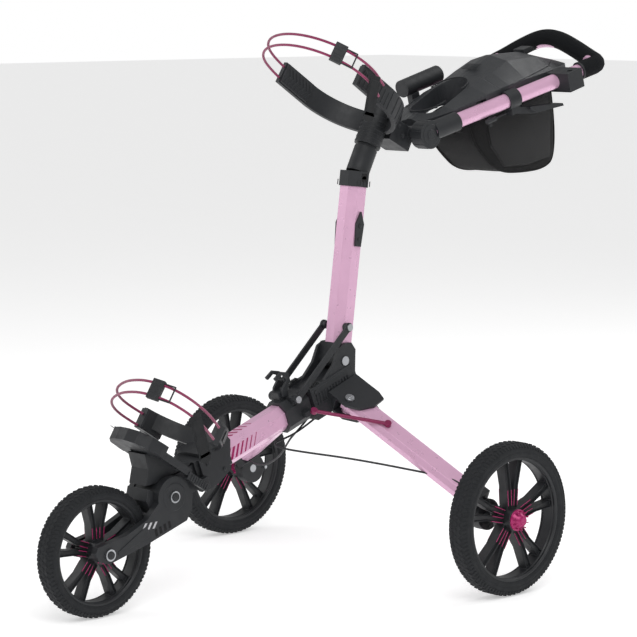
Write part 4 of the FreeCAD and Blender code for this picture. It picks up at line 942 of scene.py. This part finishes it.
    def handle(self):
        bm = bmesh.new()
        for side in (1, -1):
            seat = HANDLE @ Matrix.Translation((0, 0.033, -0.005))
            disc(bm, seat, (side * 0.0823, 0, 0), 0.0215, 0.0018, 0.0205)
            self.bolt(bm, seat, (side * 0.0842, 0, 0), 0.0105, side)
            for step in range(12):
                turn = Matrix.Rotation(math.radians(step * 30), 4, "X")
                box(bm, seat @ turn, (side * 0.067, 0, SOCKET_RADIUS), (0.028, 0.0022, 0.0010))
        for step in range(7):
            spot = (0, 0.250 + step * 0.0032, 0.0625 + step * 0.00075)
            box(bm, HANDLE, spot, (0.040, 0.0012, 0.0012))
        for side in (1, -1):
            self.bolt(bm, HANDLE, (side * 0.040, 0.100, 0.0285), 0.004, axis=Matrix())
        keep(bm, "handle_trim", "charcoal_plastic", "handle")
        rim = bmesh.new()
        for y, start, stop in ((CUP_BACK, 0, 180), (CUP_FRONT, 180, 360)):
            for step in range(19):
                angle = math.radians(start + (stop - start) * step / 18)
                back = y + CUP_RADIUS * math.sin(angle)
                high = 0.0335 + (back - CUP_FRONT) * 0.19
                spot = (CUP_RADIUS * math.cos(angle), back, high)
                turn = Matrix.Rotation(angle, 4, "Z")
                box(rim, HANDLE @ Matrix.Translation(spot) @ turn, (0, 0, 0),
                    (0.0022, 0.0080, 0.0028))
        keep(rim, "cup_rim", "charcoal_plastic", "handle", 0.0006)

    def legs(self):
        for name, side in SIDES:
            bm = bmesh.new()
            seat = leg_frame(side)
            for high in (0.0227, -0.0227):
                self.bolt(bm, seat, (0.016, -0.014, high), 0.0072, 1, Matrix())
            keep(bm, f"{name}_bracket_bolts", "steel", "keel")
            bm = bmesh.new()
            for along, back in ((0.330, -0.016), (0.330, 0.016), (0.296, 0.0)):
                high = 0.0168 if along > 0.31 else 0.0146
                self.bolt(bm, seat, (along, back, high), 0.0042, 1, Matrix())
            for step in range(8):
                turn = Matrix.Rotation(math.radians(step * 45), 4, "X")
                hub = Matrix.Translation((side * 0.3445, REAR_AXLE_Y, REAR_RADIUS)) @ turn
                box(bm, hub, (0, 0, 0.0245), (0.0016, 0.0022, 0.0075))
            keep(bm, f"{name}_hub_trim", "charcoal_plastic", f"{name}_leg")


CABLES = (
    # name, points from its exit to its other end
    ("right_brake_cable", (
        (0.010, -0.0180, 0.3060), (0.004, -0.0560, 0.2830), (-0.004, -0.0960, 0.2700),
        (0.002, -0.1220, 0.2660), (0.026, -0.1180, 0.2600), (0.064, -0.0860, 0.2530),
        (0.110, -0.0380, 0.2440), (0.160, 0.0080, 0.2330), (0.210, 0.0480, 0.2220),
        (0.258, 0.0680, 0.2160), (0.300, 0.0830, 0.2080), (0.318, 0.0920, 0.1900),
    )),
    ("left_brake_cable", (
        (-0.010, -0.0160, 0.3060), (-0.006, -0.0420, 0.2880), (-0.024, -0.0500, 0.2680),
        (-0.060, -0.0300, 0.2450), (-0.100, -0.0080, 0.2180), (-0.150, 0.0150, 0.1950),
        (-0.200, 0.0380, 0.1780), (-0.250, 0.0620, 0.1700), (-0.295, 0.0850, 0.1680),
        (-0.318, 0.1000, 0.1700),
    )),
)


class PUSHCART_OT_cables(bpy.types.Operator):
    """Make the brake cables from the keel to the rear hubs"""

    bl_idname = "pushcart.cables"
    bl_label = "Brake cables"

    def execute(self, context):
        diameter = context.scene.push_cart.cable_diameter
        for name, points in CABLES:
            cable = line(name, points, diameter, "charcoal_plastic", None)
            mesh = bpy.data.meshes.new_from_object(cable)
            curve = cable.data
            bpy.data.objects.remove(cable)
            bpy.data.curves.remove(curve)
            piece = bpy.data.objects.new(name, mesh)
            bpy.context.scene.collection.objects.link(piece)
            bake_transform(piece)
        return {"FINISHED"}


class PUSHCART_OT_stage(bpy.types.Operator):
    """Make the floor, the soft lights and the camera"""

    bl_idname = "pushcart.stage"
    bl_label = "Stage"

    def execute(self, context):
        scene = context.scene
        plain_ground("ground", tuple(scene.push_cart.ground))
        bm = bmesh.new()
        bmesh.ops.create_grid(bm, x_segments=8, y_segments=8, size=30)
        floor = keep(bm, "floor", "ground", None, 0.0)
        world = bpy.data.worlds.new("Studio")
        scene.world = world
        world.use_nodes = True
        sky = world.node_tree.nodes["Background"]
        sky.inputs["Color"].default_value = (1, 1, 1, 1)
        self.white_beyond(world.node_tree, sky)
        for name, place, size, power in (
            ("key_light", (2.2, -1.8, 3.2), 2.4, 62), ("fill_light", (-2.6, -1.6, 2.2), 2.6, 22),
            ("back_light", (0.4, 3.0, 2.8), 2.4, 42),
        ):
            data = bpy.data.lights.new(name, "AREA")
            data.size, data.energy = size, power
            lamp = bpy.data.objects.new(name, data)
            scene.collection.objects.link(lamp)
            lamp.location = place
            away = Vector(place) - Vector((0, 0, 0.5))
            lamp.rotation_mode = "QUATERNION"
            lamp.rotation_quaternion = away.to_track_quat("Z", "Y")
        self.camera(scene)
        return {"FINISHED"}

    def white_beyond(self, tree, sky):
        """A dim studio for light and reflections that looks white behind the cart."""
        seen = tree.nodes.new("ShaderNodeLightPath")
        strength = tree.nodes.new("ShaderNodeMath")
        strength.operation = "MULTIPLY_ADD"
        strength.inputs[1].default_value = 0.55
        strength.inputs[2].default_value = 0.45
        tree.links.new(seen.outputs["Is Camera Ray"], strength.inputs[0])
        tree.links.new(strength.outputs[0], sky.inputs["Strength"])

    def camera(self, scene):
        """A long lens from the front right, a little above."""
        round_angle, height_angle = math.radians(45.684), math.radians(12.393)
        distance, focal, across, down = 5.2525, 2612.8, 43.507, 241.945
        back = Vector((
            math.sin(round_angle) * math.cos(height_angle),
            -math.cos(round_angle) * math.cos(height_angle), math.sin(height_angle),
        ))
        right = (-back).cross(Vector((0, 0, 1))).normalized()
        up = right.cross(-back)
        aim = -back - right * (across / focal) + up * (down / focal)
        data = bpy.data.cameras.new("Camera")
        data.sensor_width = 36.0
        data.lens = 147.66 * aim.length
        data.clip_start, data.clip_end = 0.1, 100
        camera = bpy.data.objects.new("Camera", data)
        scene.collection.objects.link(camera)
        camera.location = Vector((0, REAR_AXLE_Y, 0)) + back * distance
        camera.rotation_mode = "QUATERNION"
        camera.rotation_quaternion = aim.to_track_quat("-Z", "Y")
        scene.camera = camera
        scene.view_settings.view_transform = "Standard"


class PUSHCART_PT_panel(bpy.types.Panel):
    """The cart's pieces and their settings"""

    bl_idname = "PUSHCART_PT_panel"
    bl_label = "Push cart"
    bl_space_type = "VIEW_3D"
    bl_region_type = "UI"
    bl_category = "Push cart"

    def draw(self, context):
        for name in CartLooks.__annotations__:
            self.layout.prop(context.scene.push_cart, name)
        for step in STEPS:
            self.layout.operator(step.bl_idname)


STEPS = (
    PUSHCART_OT_finishes, PUSHCART_OT_tyres, PUSHCART_OT_rims, PUSHCART_OT_grip,
    PUSHCART_OT_bungees, PUSHCART_OT_pouch, PUSHCART_OT_graphics, PUSHCART_OT_trim,
    PUSHCART_OT_cables, PUSHCART_OT_stage,
)
CLASSES = (CartLooks, *STEPS, PUSHCART_PT_panel)


def register():
    """Adds the settings, the operators and the panel."""
    for item in CLASSES:
        bpy.utils.register_class(item)
    bpy.types.Scene.push_cart = bpy.props.PointerProperty(type=CartLooks)


def unregister():
    """Takes them away again."""
    del bpy.types.Scene.push_cart
    for item in reversed(CLASSES):
        bpy.utils.unregister_class(item)


def main():
    """Builds every piece."""
    register()
    for step in STEPS:
        group, name = step.bl_idname.split(".")
        getattr(getattr(bpy.ops, group), name)()


if __name__ == "__main__":
    main()
